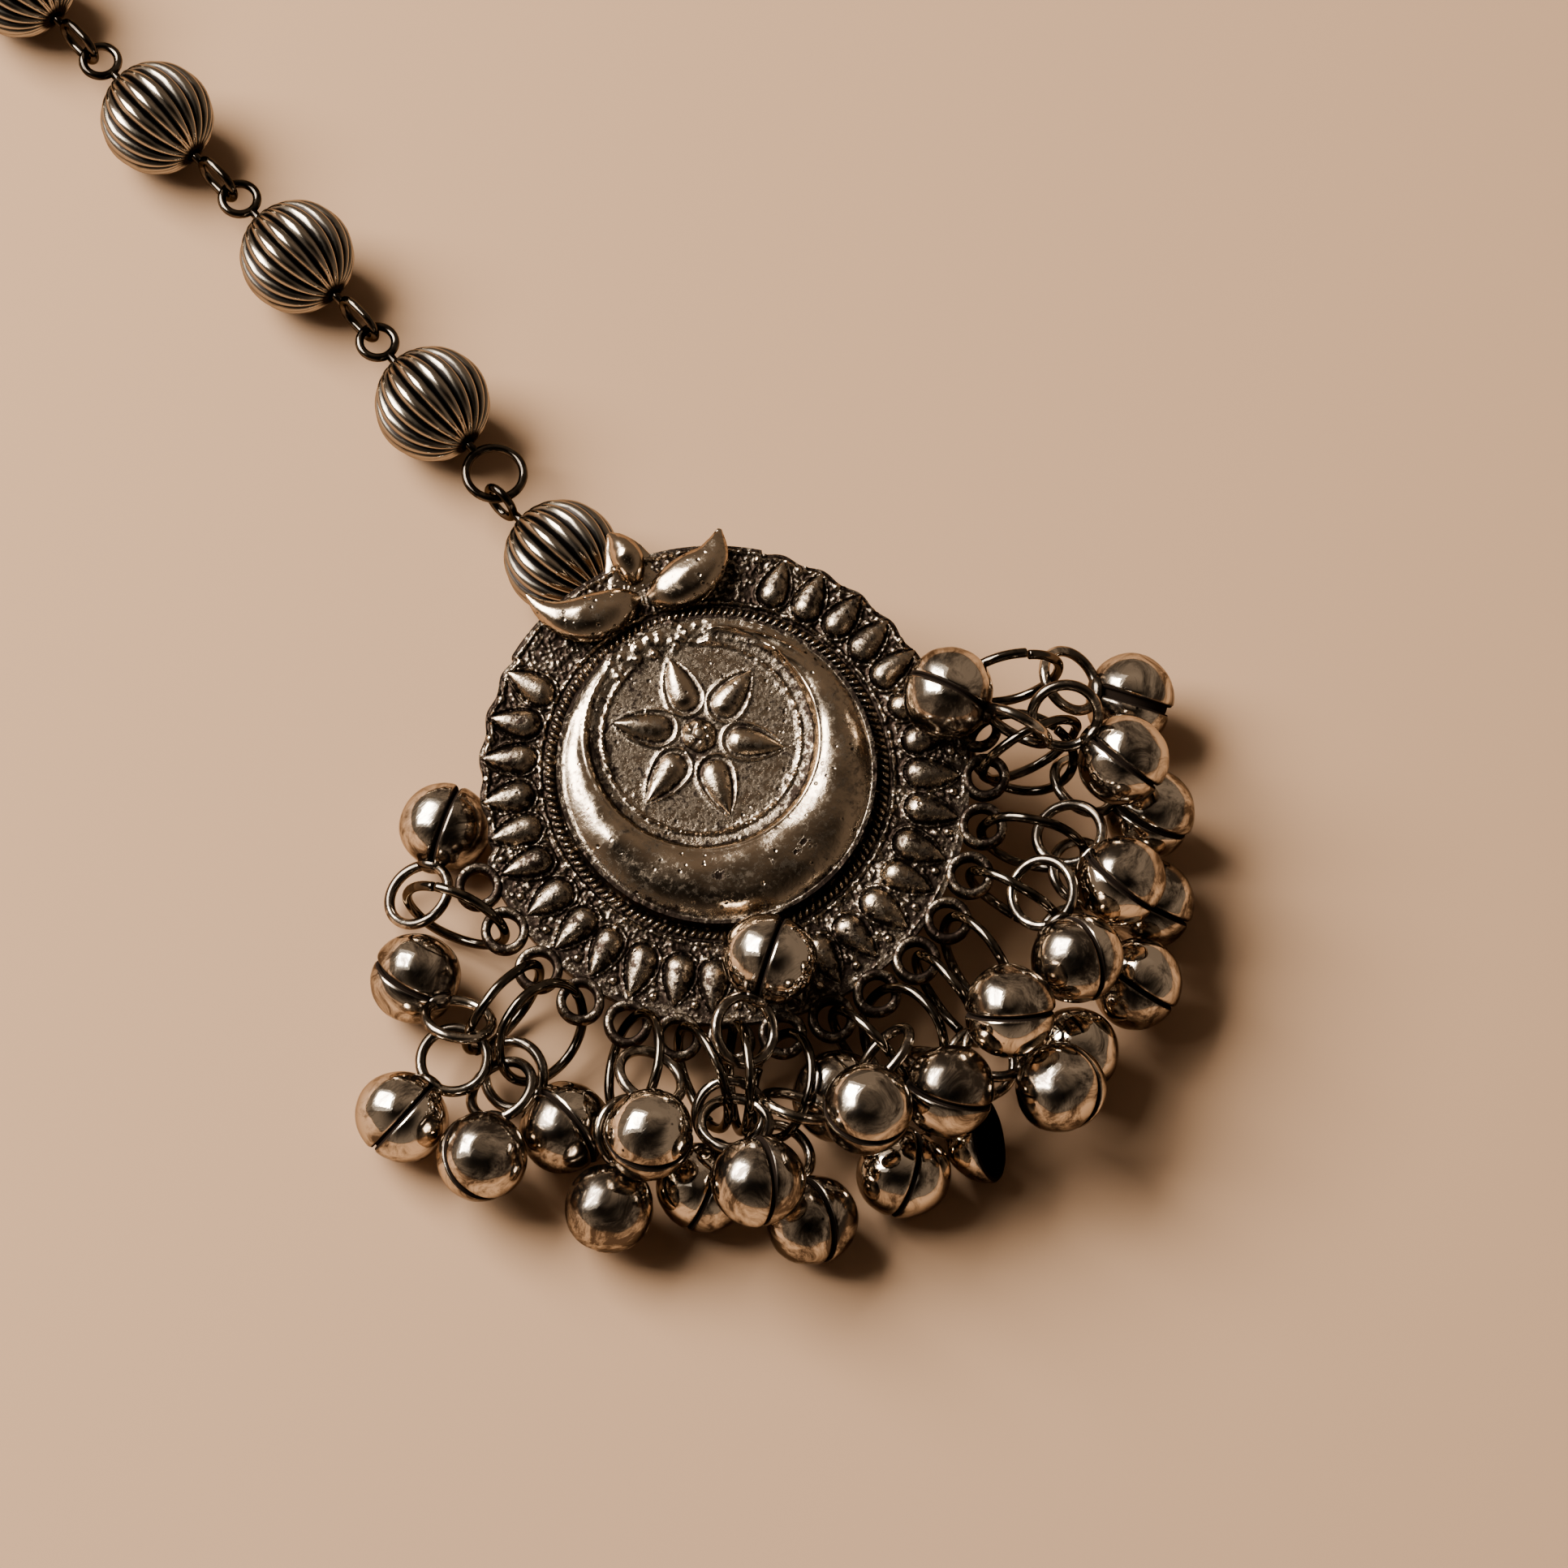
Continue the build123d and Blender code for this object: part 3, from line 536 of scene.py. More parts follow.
class Finish(Nodes):
    """A metal's or the floor's material, with patterns laid over the object's own places."""

    def __init__(self, name):
        self.material = bpy.data.materials.new(name)
        self.material.use_nodes = True
        super().__init__(self.material.node_tree, "Object")
        self.shader = self.tree.nodes["Principled BSDF"]
        self.hollow = self.node("Attribute", "Fac", attribute_name="hollow")

    def noise(self, scale, detail, rough=0.55, distort=0.0, places=None):
        return self.node("TexNoise", "Fac", {
            "Vector": places or self.places, "Scale": scale, "Detail": detail,
            "Roughness": rough, "Distortion": distort})

    def swing(self, value, middle, scale):
        """How far a value is from its middle, times a scale."""
        return self.times(self.maths("SUBTRACT", value, middle), scale)

    def cells(self, scale):
        return self.node("TexVoronoi", "Distance", {"Vector": self.places, "Scale": scale})

    def specks(self, scale, core, edge, patch_scale, low, high):
        """Round specks in the middles of cells, in the patches where a noise is high."""
        return self.times(self.fit(self.cells(scale), core, edge, 1.0, 0.0),
                          self.fit(self.noise(patch_scale, 2.0), low, high))

    def blend(self, factor, a, b):
        a, b = (value if isinstance(value, bpy.types.NodeSocket) else (*value, 1.0)
                for value in (a, b))
        return self.node("Mix", 2, {"Factor": factor, 6: a, 7: b}, data_type="RGBA")

    def bump(self, height, strength, depth, normal=None):
        inputs = {"Height": height, "Strength": strength, "Distance": depth * MM}
        if normal:
            inputs["Normal"] = normal
        return self.node("Bump", "Normal", inputs)

    def surface(self, **inputs):
        """Sets or links the shader's inputs, named with _ for a space."""
        for key, value in inputs.items():
            self.feed(value, self.shader.inputs[key.replace("_", " ")])
        return self.material

    def metal(self, base, roughness, normal, edge):
        """Metal whose reflection at its turned-away edges is dimmed to that share."""
        return self.surface(Metallic=1.0, Base_Color=base, Roughness=roughness, Normal=normal,
                            Specular_Tint=(edge, 0.92 * edge, 0.84 * edge, 1.0))


def cast_finish(look):
    """Oxidised casting: patina in the hollows that spreads in patches, rubbed metal on what
    stands proud, a grainy skin that glints and small pits."""
    finish = Finish("oxidised_casting")
    sand, grit = finish.noise(2300.0, 6.0, 0.75), finish.cells(4200.0)
    patches = finish.swing(finish.noise(420.0, 5.0, 0.62, 0.6), 0.5, 1.5)
    grain = finish.swing(sand, 0.5, 2.8)
    depth = finish.plus(finish.hollow, finish.plus(patches, grain))
    patina = finish.fit(depth, 0.18, 0.80, 0.0, look.patina + 0.25)
    spots = finish.specks(1500.0, 0.10, 0.22, 700.0, 0.50, 0.56)
    base = finish.blend(patina, look.cast_bright, look.dark_patina_and_shade)
    base = finish.blend(finish.times(spots, 0.85), base, look.dark_patina_and_shade)
    roughness = finish.fit(finish.plus(patina, finish.times(grain, 0.5)), 0.0, 1.0, 0.13, 0.42)
    rough_places = finish.fit(finish.hollow, 0.18, 0.58, 0.22, 1.0)
    normal = finish.bump(finish.times(sand, rough_places), 0.45, 0.09)
    normal = finish.bump(finish.times(grit, rough_places), 0.3, 0.05, normal)
    normal = finish.bump(spots, 0.7, -0.07, normal)
    return finish.metal(base, roughness, normal, 0.45)


def bell_finish(look):
    """Bright pressed cups, with clouds of tarnish, fine scratches and pin pricks. Painted shade
    darkens the lips and the cups towards the eyes, and paints the insides black.
    """
    finish = Finish("pressed_silver")
    clouds = finish.swing(finish.noise(420.0, 6.0, 0.72, 1.0), 0.46, 4.0)
    # the tarnish mask also carries the bells' painted shade at the lips and towards the eyes
    tarnish = finish.fit(finish.plus(finish.hollow, clouds), 0.08, 0.80, 0.0, 0.95)
    drawn_out = finish.node("Mapping", "Vector", {
        "Vector": finish.places, "Rotation": (0.4, 0.9, 0.6), "Scale": (1.0, 12.0, 1.0)})
    scratches = finish.fit(finish.noise(900.0, 3.0, 0.5, 0.0, drawn_out), 0.60, 0.70)
    spots = finish.specks(900.0, 0.06, 0.12, 500.0, 0.53, 0.58)
    # painted shade: the insides and the lips are painted black below and made dull
    inside = finish.fit(finish.hollow, 0.66, 0.9)
    base = finish.blend(tarnish, look.bell_bright, look.bell_tarnish_and_shade)
    base = finish.blend(finish.maths("MAXIMUM", spots, inside), base, look.dark_patina_and_shade)
    roughness = finish.fit(finish.plus(tarnish, finish.times(scratches, 0.3)),
                           0.0, 1.0, 0.035, 0.20)
    roughness = finish.maths("MAXIMUM", roughness, finish.times(inside, 0.9))
    normal = finish.bump(finish.noise(230.0, 1.5), 1.0, 0.30)
    normal = finish.bump(finish.noise(1300.0, 4.0), 0.5, 0.018, normal)
    normal = finish.bump(scratches, 0.15, -0.01, normal)
    return finish.metal(base, roughness, normal, 0.55)


def bead_finish(look):
    """Polished ribs with black between them, and patchy wear."""
    finish = Finish("fluted_silver")
    wear = finish.swing(finish.noise(500.0, 4.0, 0.6, 0.5), 0.5, 0.9)
    black = finish.fit(finish.plus(finish.hollow, wear), 0.16, 0.66)
    base = finish.blend(black, look.bead_bright, look.bead_dark)
    roughness = finish.fit(black, 0.0, 1.0, 0.13, 0.42)
    normal = finish.bump(finish.noise(1800.0, 4.0), 0.2, 0.03)
    return finish.metal(base, roughness, normal, 0.5)


def wire_finish(look):
    """Drawn wire, dull and tarnished in patches, with marks of the pliers."""
    finish = Finish("drawn_wire")
    patches = finish.noise(600.0, 4.0, 0.6, 0.4)
    tarnish = finish.fit(finish.plus(patches, finish.hollow), 0.38, 0.75)
    base = finish.blend(tarnish, look.wire_bright, look.wire_dark)
    roughness = finish.fit(patches, 0.3, 0.7, 0.05, 0.15)
    normal = finish.bump(finish.noise(900.0, 3.0), 0.2, 0.03)
    return finish.metal(base, roughness, normal, 0.5)


def floor_finish(look):
    return Finish("plain_floor").surface(Base_Color=(*look.floor, 1.0), Roughness=0.9,
                                         Specular_IOR_Level=0.2)


FINISHES = {
    "cast_silver": cast_finish,
    "bell_silver": bell_finish,
    "bead_silver": bead_finish,
    "ring_wire": wire_finish,
}


def finish_for(slot):
    """The material of a slot, made when a piece first asks for it."""
    scene = bpy.context.scene
    made = scene.get("tikka_made", {})
    if slot not in made:
        made = {**made, slot: FINISHES[slot](scene.tikka_finish).name}
        scene["tikka_made"] = made
    return bpy.data.materials[made[slot]]


# ---- the casting ---------------------------------------------------------------------------
DROP_COUNT = 28
DROP_STEP = radians(10.4)
ROPE_BEADS = 144
SINK = 0.06               # drops and grains start this far under the face
# grains between two drops: their middles' reach and shift sideways, and their radius
GAP_GRAINS = ((14.1, 0.12, 0.27), (13.4, -0.1, 0.17), (14.45, -0.22, 0.15))
PLATE_COLUMNS, PLATE_ROWS = 1200, 70
DOME_COLUMNS, DOME_ROWS = 460, 128
RING_POINTS = 8           # heights taken round a place to tell how deep it lies
UNDER_DOME = 9.45         # the plate's fine rows start here, under the dome's foot
DOME_SHIFT = 0.1          # the dome's middle lies this far to the left
FIRST_PETAL, PETAL_STEP = radians(87.0), radians(60.0)
CLUSTER_MIDDLE, CLUSTER_GRAINS = (0.1, 8.9), 26
# pits of the casting: across, along, radius
PITS = ((-2.8, -6.4, 0.36), (0.5, -6.8, 0.26), (2.0, -6.9, 0.3), (2.6, -6.5, 0.36),
        (2.9, -6.9, 0.2))


def drop_field(along, across, head, length):
    """Nearness to a drop's outline, from 0 on its middle line to 1 on the outline and more
    beyond. The outline is a half circle round the head, then narrows with the square of the way
    to the point."""
    t = np.clip(along / length, 0.0, 0.995)
    half = head * (1 - t ** 2)
    field = np.where(along < 0, np.hypot(along, across) / head, np.abs(across) / half)
    return np.where(along < length, field, 9.0)


def puffed(field):
    """Height over a drop's outline: (1 - field^2)^0.6, full in the middle and steep outside."""
    return np.clip(1 - field ** 2, 0.0, None) ** 0.6


def raised_drop(along, across, head, length, height, border):
    """A drop that sinks to its point, and the fine raised border round it."""
    t = np.clip(along / length, 0.0, 1.0)
    body = height * puffed(drop_field(along, across, head, length)) * (1 - 0.75 * t ** 2)
    edge = drop_field(along - 0.03, across, head + 0.17, length + 0.12)
    return body, border * ridge((edge - 1.0) * head, 0.0, 0.085)


def around_drops(u, v, sizes):
    """Places round the ring of drops, in steps from the middle of the fringe, and their reach."""
    return (np.arctan2(u, sizes.drop_v - v) / DROP_STEP,
            np.hypot(u, v - sizes.drop_v))


def outline(angle, sizes):
    """Edge of the plate in a direction: the rim's circle on the fringe side of the leaf end, and
    on the other the plate's, hollowed a little between each two drops."""
    rise = sizes.lug_v * np.sin(angle)
    rim = rise + np.sqrt(sizes.rim_r ** 2 - (sizes.lug_v * np.cos(angle)) ** 2)
    step = around_drops(sizes.plate_r * np.cos(angle), sizes.plate_r * np.sin(angle), sizes)[0]
    hollow = 0.5 + 0.5 * np.cos(2 * pi * step)
    plate = sizes.plate_r - sizes.scallop * hollow * (np.abs(step) < DROP_COUNT / 2)
    return rim + (plate - rim) * ramp(0.03, 0.09, np.sin(angle))


def plate_height(u, v, sizes):
    """Front of the plate: a rough field with a twisted rope and a plain ridge round the dome,
    a ring of drops with grains between their points, and a raised line inside a bevelled edge."""
    radius, angle = np.hypot(u, v), np.arctan2(v, u)
    places = np.stack([u, v], -1)
    inside = outline(angle, sizes) - radius
    off_rope = radius - sizes.rope_r
    height = sizes.top + 0.05 * ripple(places, 1.0, 3) + 0.04 * ripple(places, 0.42, 4)
    # lower past the plate's edge on the fringe side, the line inside the edge, and the bevel
    height = height - 0.15 * ramp(0.0, 0.5, radius - sizes.plate_r + 0.25) * (v < 1.0)
    height = height + 0.16 * ridge(inside, 0.35, 0.13)
    height = height - 0.5 * ramp(0.0, 0.28, 0.28 - inside) ** 1.5
    # plain ridge beside the rope, and the groove between them
    height = height + 0.17 * ridge(off_rope, 0.62, 0.13) - 0.10 * ridge(off_rope, 0.38, 0.12)
    # rope: beads drawn slantwise round the line
    off = off_rope / sizes.rope_wire
    twist = 0.5 + 0.5 * np.cos(ROPE_BEADS * angle + 1.6 * off + 0.5 * ripple(places, 6.0, 8))
    height = np.maximum(height, sizes.top - 0.02
                        + sizes.rope_wire * bulge(off) * (0.25 + 0.95 * twist))
    # drops, each a little uneven
    step, reach = around_drops(u, v, sizes)
    last = (DROP_COUNT - 1) / 2
    nearest = np.clip(np.round(step + last), 0, DROP_COUNT - 1).astype(int)
    uneven = np.random.default_rng(21).uniform(-1, 1, (5, DROP_COUNT))[:, nearest]
    slant = (step - nearest + last) * DROP_STEP + 0.010 * uneven[0]
    along = reach * np.cos(slant) - sizes.drop_head + 0.10 * uneven[1]
    across = reach * np.sin(slant) + 0.10 * uneven[2] * along
    head = sizes.drop_head_r * (1 + 0.05 * uneven[3])
    length = (sizes.drop_tip - sizes.drop_head) * (1 + 0.05 * uneven[4])
    drop, border = raised_drop(along, across, head, length, sizes.drop_rise, 0.15)
    height = np.maximum(height + border, sizes.top - SINK + drop)
    # grains between them
    gap = np.clip(np.round(step + last + 0.5), 0, DROP_COUNT)
    turned = (step - gap + last + 0.5) * DROP_STEP
    for ring, shift, grain_r in GAP_GRAINS:
        away = np.hypot(reach * np.cos(turned) - ring, reach * np.sin(turned) - shift)
        grain = 1.25 * bulge(away, grain_r)
        height = np.maximum(height, sizes.top - SINK + grain * (radius < 14.75))
    return height


def dome_height(u, v, sizes):
    """Front of the crescent dome over the plate: a steep rounded side, a puffed crescent that
    thins towards the leaves, a slope down to the dished disc inside its raised line, the flower
    with its knob on the disc, a cluster of grains in the crescent's mouth, and pits."""
    places = np.stack([u, v], -1)
    radius = np.hypot(u + DOME_SHIFT, v)
    from_disc = np.hypot(u - sizes.disc_u, v - sizes.disc_v)
    # crescent: a quarter round up from its foot, and a flatter one from its inner edge
    depth = np.clip((sizes.boss_r - radius) / 2.9, 0.0, 1.0)
    side = bulge(1 - depth) ** 0.85
    depth = np.clip((from_disc - sizes.wall_r + 0.3) / 2.0, 0.0, 1.0)
    side = side * (0.58 + 0.42 * bulge(1 - depth))
    swell = sizes.boss_rise * side * (1 - 0.03 * ripple(places, 5.0, 11))
    swell = swell + 0.004 * ripple(places, 0.8, 15) + 0.02 * ripple(places, 2.6, 18)
    # disc: a dished bed, rough from the sand, inside its line and a groove
    dish = sizes.disc_rise + sizes.disc_dish * np.minimum(from_disc / sizes.disc_r, 1.1) ** 2
    bed = dish + (0.035 * ripple(places, 0.8, 12) + 0.03 * ripple(places, 0.36, 16))
    bed = bed + 0.04 * ripple(places, 2.6, 13)
    wall = ramp(0.3, sizes.wall_r - sizes.disc_r, from_disc - sizes.disc_r)
    height = bed + (np.maximum(swell, bed) - bed) * wall
    # line round the disc, the groove outside it, and the line on the crescent's inner edge
    for edge, middle, width, rise in ((sizes.disc_r, 0.0, 0.12, 0.20),
                                      (sizes.disc_r, 0.32, 0.15, -0.12),
                                      (sizes.wall_r, 0.03, 0.12, 0.10)):
        height = height + rise * ridge(from_disc - edge, middle, width)
    # mouth of the crescent: it dies away, and grains fill it
    mouth_u, mouth_v = CLUSTER_MIDDLE
    mouth = ramp(1.3, 2.3, np.hypot((u - mouth_u) * 0.62, (v - mouth_v) * 1.15))
    low = np.minimum(swell, 1.05) + 0.08 * ripple(places, 0.9, 17)
    height = low + (height - low) * np.maximum(mouth, ramp(7.8, 6.8, v))
    # folds drawn along the crescent's right horn
    around = np.arctan2(v, u)
    horn = ramp(0.35, 0.7, around) * ramp(1.5, 1.25, around)
    for fold, drawn in ((8.75, 0.16), (8.15, 0.13), (9.2, 0.1)):
        height = height + drawn * horn * ridge(radius, fold, 0.13)
    draw = np.random.default_rng(31)
    for _ in range(CLUSTER_GRAINS):
        gu = mouth_u + draw.uniform(-3.6, 3.4)
        gv = mouth_v + draw.uniform(-0.9, 0.7) - 0.07 * gu ** 2
        grain_r = draw.uniform(0.2, 0.34)
        grain = 1.1 * bulge(np.hypot(u - gu, v - gv), grain_r)
        height = np.maximum(height, 1.08 + grain)
    # flower
    fu, fv = u - sizes.flower_u, v - sizes.flower_v
    reach, around = np.hypot(fu, fv), np.arctan2(fv, fu) - FIRST_PETAL
    nearest = np.round(around / PETAL_STEP)
    uneven = np.random.default_rng(5).uniform(-1, 1, (3, 6))[:, nearest.astype(int) % 6]
    slant = around - nearest * PETAL_STEP + 0.03 * uneven[0]
    along = reach * np.cos(slant) - sizes.petal_head
    across = reach * np.sin(slant) + 0.06 * uneven[1] * along
    length = (sizes.petal_tip - sizes.petal_head) * (1 + 0.04 * uneven[2])
    petal, border = raised_drop(along, across, sizes.petal_head_r, length, sizes.petal_rise, 0.12)
    height = np.maximum(height + border, dish + 0.02 + petal)
    # knob: a half ball whorled into lobes, with a bead in a groove on top
    whorl = 0.5 + 0.5 * np.cos(6 * (around + FIRST_PETAL) + 2.5 * reach)
    knob = 1.15 * bulge(reach / sizes.knob_r) ** 0.8
    knob = knob * (1 - 0.22 * whorl * ramp(0.35, 0.65, reach))
    knob = knob - 0.14 * ridge(reach, 0.42, 0.1)
    height = np.maximum(height, dish + 0.02 + knob * (reach < sizes.knob_r))
    return height - 0.05 * pitted(u, v)


def pitted(u, v):
    """How far a place is within one of the casting's ragged pits, from 0 to 1."""
    ragged = 0.13 * ripple(np.stack([u, v], -1), 0.55, 14)
    within = np.zeros_like(ragged)
    for pit_u, pit_v, pit_r in PITS:
        away = np.hypot(u - pit_u, (v - pit_v) * 1.2) + ragged
        within = np.maximum(within, ramp(-0.05, 0.6 * pit_r, pit_r - away))
    return within


def hollows(height, u, v, sizes, near, far, level):
    """How deep each place lies, from 0 to 1: the value for a level field, and more where the
    mean height round it, at a near and at a far radius, is over its own."""
    here = height(u, v, sizes)
    deep = np.zeros_like(here)
    for radius, weight in ((near, 2.4), (far, 0.9)):
        ring = 0.0
        for angle in turns(RING_POINTS):
            around = height(u + radius * cos(angle), v + radius * sin(angle), sizes)
            ring = ring + around / RING_POINTS
        deep = deep + weight * (ring - here)
    return np.clip(level + deep, 0.0, 1.0)


def polar_skin(place, angle, shift, front, back):
    """A closed skin in polar places over the casting, from rows of reach, height and depth in
    its hollows: those of its front, then those that close it behind."""
    reach, height, deep = (np.vstack([ahead, behind + 0 * angle])
                           for ahead, behind in zip(front, back))
    skin = Skin()
    skin.grid(on_casting(place, reach * np.cos(angle) - shift, reach * np.sin(angle), height),
              deep)
    return skin


def build_plate(sizes, place):
    """The plate: rows run out from its middle in polar places, coarse under the dome and fine
    beyond it, down its bevelled edge and back over its plain back."""
    angle = turns(PLATE_COLUMNS)[None]
    edge = outline(angle, sizes)
    coarse = np.linspace(0.3, 9.3, 3)[:, None] + 0 * angle
    part = np.linspace(0, 1, PLATE_ROWS)[:, None]
    reach = np.vstack([coarse, UNDER_DOME + (edge - UNDER_DOME) * part])
    u, v = reach * np.cos(angle), reach * np.sin(angle)
    height = plate_height(u, v, sizes)
    height[:len(coarse)] = sizes.top
    deep = hollows(plate_height, u, v, sizes, 0.22, 0.6, 0.78)
    back_reach = np.vstack([edge, edge - 0.12, 0.5 * edge, 0.02 * edge])
    back_height = np.array([sizes.back + 0.12, sizes.back, sizes.back, sizes.back])[:, None]
    return polar_skin(place, angle, 0.0, (reach, height, deep),
                      (back_reach, back_height, np.full((4, 1), 0.45)))


def build_dome(sizes, place):
    """The dome: rows run out from its middle in polar places to its steep foot, which is sunk in
    the plate, and back under it."""
    angle = turns(DOME_COLUMNS)[None]
    part = np.linspace(0, 1, DOME_ROWS)[1:, None]
    reach = (sizes.boss_r - 0.005) * (part - 0.06 * np.sin(pi * part) * part) + 0 * angle
    u, v = reach * np.cos(angle) - DOME_SHIFT, reach * np.sin(angle)
    on_disc = 1 - ramp(0.6, 1.1, np.hypot(u - sizes.disc_u, v - sizes.disc_v) - sizes.disc_r)
    deep = hollows(dome_height, u, v, sizes, 0.2, 0.6, 0.28 + 0.18 * on_disc)
    deep = np.maximum(deep, pitted(u, v))
    deep[-3:] = 0.9
    under = np.array([sizes.boss_r, 0.5 * sizes.boss_r, 0.1])[:, None]
    return polar_skin(place, angle, DOME_SHIFT,
                      (reach, sizes.top + dome_height(u, v, sizes), deep),
                      (under, np.full((3, 1), sizes.top - 0.25), np.full((3, 1), 0.9)))


# sections of the leaves and the bud: across, along and out of the casting, half width and half
# height
LEAVES = {
    "left": [
        (0.2, 11.9, 0.8, 0.3, 0.3), (-0.8, 11.85, 1.05, 1.05, 0.85),
        (-2.2, 11.7, 1.2, 1.45, 1.1), (-3.6, 11.9, 1.25, 1.45, 1.15),
        (-4.8, 12.6, 1.2, 1.05, 0.9), (-5.6, 13.6, 1.15, 0.55, 0.55),
        (-6.05, 14.7, 1.1, 0.1, 0.12),
    ],
    "right": [
        (0.6, 11.55, 0.8, 0.3, 0.3), (1.5, 11.5, 1.05, 1.1, 0.85),
        (2.7, 11.5, 1.2, 1.5, 1.05), (4.0, 11.7, 1.3, 1.5, 1.1),
        (5.1, 12.2, 1.35, 1.15, 0.9), (5.8, 12.9, 1.4, 0.68, 0.6),
        (6.35, 13.7, 1.4, 0.15, 0.15),
    ],
    "bud": [
        (0.5, 12.9, 0.6, 0.4, 0.35), (0.5, 13.5, 0.85, 0.8, 0.75),
        (0.5, 14.4, 1.0, 0.98, 0.95), (0.45, 15.3, 0.95, 0.8, 0.8),
        (0.3, 15.95, 0.85, 0.4, 0.45), (0.15, 16.35, 0.8, 0.12, 0.15),
    ],
    "bud_backing": [
        (0.5, 12.4, 0.15, 1.9, 0.3), (0.5, 13.6, 0.2, 1.75, 0.32),
        (0.5, 14.8, 0.3, 1.3, 0.32), (0.35, 15.8, 0.4, 0.75, 0.3),
        (0.15, 16.4, 0.5, 0.12, 0.1),
    ],
}


def swept_leaf(rows, place):
    """A leaf: ovals drawn square to its line, in width across it and in height out of the face,
    between the sections of its table. Rippled a little, and darker towards its foot."""
    rows = smooth_rows(rows, 54)
    line = on_casting(place, rows[:, 0], rows[:, 1], rows[:, 2])
    side = unit(np.cross(place.normal, np.gradient(line, axis=0)))
    angle = turns(56)
    lift = np.sin(angle)
    reach = np.maximum(rows[:, 3:5], 0.05)
    points = (line[:, None] + (reach[:, :1] * np.cos(angle))[..., None] * side[:, None]
              + (reach[:, 1:] * lift)[..., None] * place.normal)
    points += 0.03 * ripple(points, 1.6, 9)[..., None] * place.normal
    return points, np.clip(0.32 - 0.75 * lift, 0.08, 1.0)


# ---- operators -----------------------------------------------------------------------------
def build_step(context):
    """Sizes of the casting and where it lies."""
    sizes = in_mm(context.scene.tikka_casting)
    return sizes, casting_frame(sizes)


class TIKKA_OT_casting(bpy.types.Operator):
    """Build the cast plate with its rope and drops, the crescent dome and the leaves"""
    bl_idname = "tikka.casting"
    bl_label = "Casting"

    def execute(self, context):
        sizes, place = build_step(context)
        build_plate(sizes, place).piece("casting_plate", ["medallion"], "cast_silver")
        build_dome(sizes, place).piece("casting_crescent", ["medallion"], "cast_silver")
        leaves = Skin()
        for rows in LEAVES.values():
            leaves.grid(*swept_leaf(rows, place))
        leaves.piece("casting_leaves", ["medallion"], "cast_silver")
        return {"FINISHED"}


class TIKKA_OT_lugs(bpy.types.Operator):
    """Build the pierced lugs round the rim and the bail behind the leaves"""
    bl_idname = "tikka.lugs"
    bl_label = "Lugs and bail"

    def execute(self, context):
        sizes, place = build_step(context)
        skin = Skin()
        angle, around = turns(34), turns(20)[:, None]
        across, upward = np.cos(around), np.sin(around)
        # the section is a squarish oval: its cosine and sine are raised to powers under one
        wall = (sizes.lug_r - sizes.lug_hole_r) / 2
        out = wall * np.sign(across) * np.abs(across) ** 0.6
        rise = sizes.lug_half * np.sign(upward) * np.abs(upward) ** 0.8 + 0 * angle
        # darker inside the hole by patina, and painted shade that darkens each lug towards its
        # back
        deep = np.clip(1.0 - 0.12 * out / wall - 0.35 * rise, 0.0, 1.0)
        ways = np.stack([np.cos(angle), np.sin(angle)], -1)
        for lug in LUGS:
            bearing = lug * LUG_STEP
            reach = sizes.lug_r - wall + out + 0.03 * ripple(ways, 2.5, 40 + lug)
            u = sizes.lug_ring * sin(bearing) + reach * ways[:, 0]
            v = sizes.lug_v - sizes.lug_ring * cos(bearing) + reach * ways[:, 1]
            skin.grid(on_casting(place, u, v, rise), deep, loop=True)
        bail = on_casting(place, 0.2, 12.4, sizes.back + BAIL_SINK - BAIL_R)
        path = circle(bail, place.leafward, place.across, BAIL_R, 48)
        skin.grid(tube(path, place.leafward, BAIL_WIRE), 0.4, loop=True)
        skin.piece("casting_lugs", ["medallion"], "cast_silver")
        return {"FINISHED"}


class TIKKA_OT_rings(bpy.types.Operator):
    """Build the jump rings, each a bent wire whose cut ends nearly meet"""
    bl_idname = "tikka.rings"
    bl_label = "Jump rings"

    def execute(self, context):
        sizes = in_mm(context.scene.tikka_fringe)
        draw = np.random.default_rng(17)
        for node, name in (("rings_left", "jump_rings_left"), ("rings_right", "jump_rings_right")):
            skin = Skin()
            for solid in loose_solids(node_triangles(node)):
                middle, (normal, first, _) = middle_and_axes(solid)
                slit = sizes.ring_slit / sizes.ring_r
                path = circle(middle, normal, first, sizes.ring_r, 96, draw.uniform(0, 2 * pi),
                              2 * pi - slit)
                skew = draw.uniform(-0.07, 0.07)
                path = path + np.linspace(-skew, skew, len(path))[:, None] * normal
                path += 0.02 * ripple(path, 3.0, 50)[:, None] * normal
                skin.grid(tube(path, normal, sizes.ring_wire, 16, loop=False), 0.1)
            skin.piece(name, [node], "ring_wire")
        return {"FINISHED"}


COLLAR_REACH = 0.35       # the collar reaches this far past the other cup's lip
COLLAR_WALL = 0.16        # from the cup's inside to the collar's


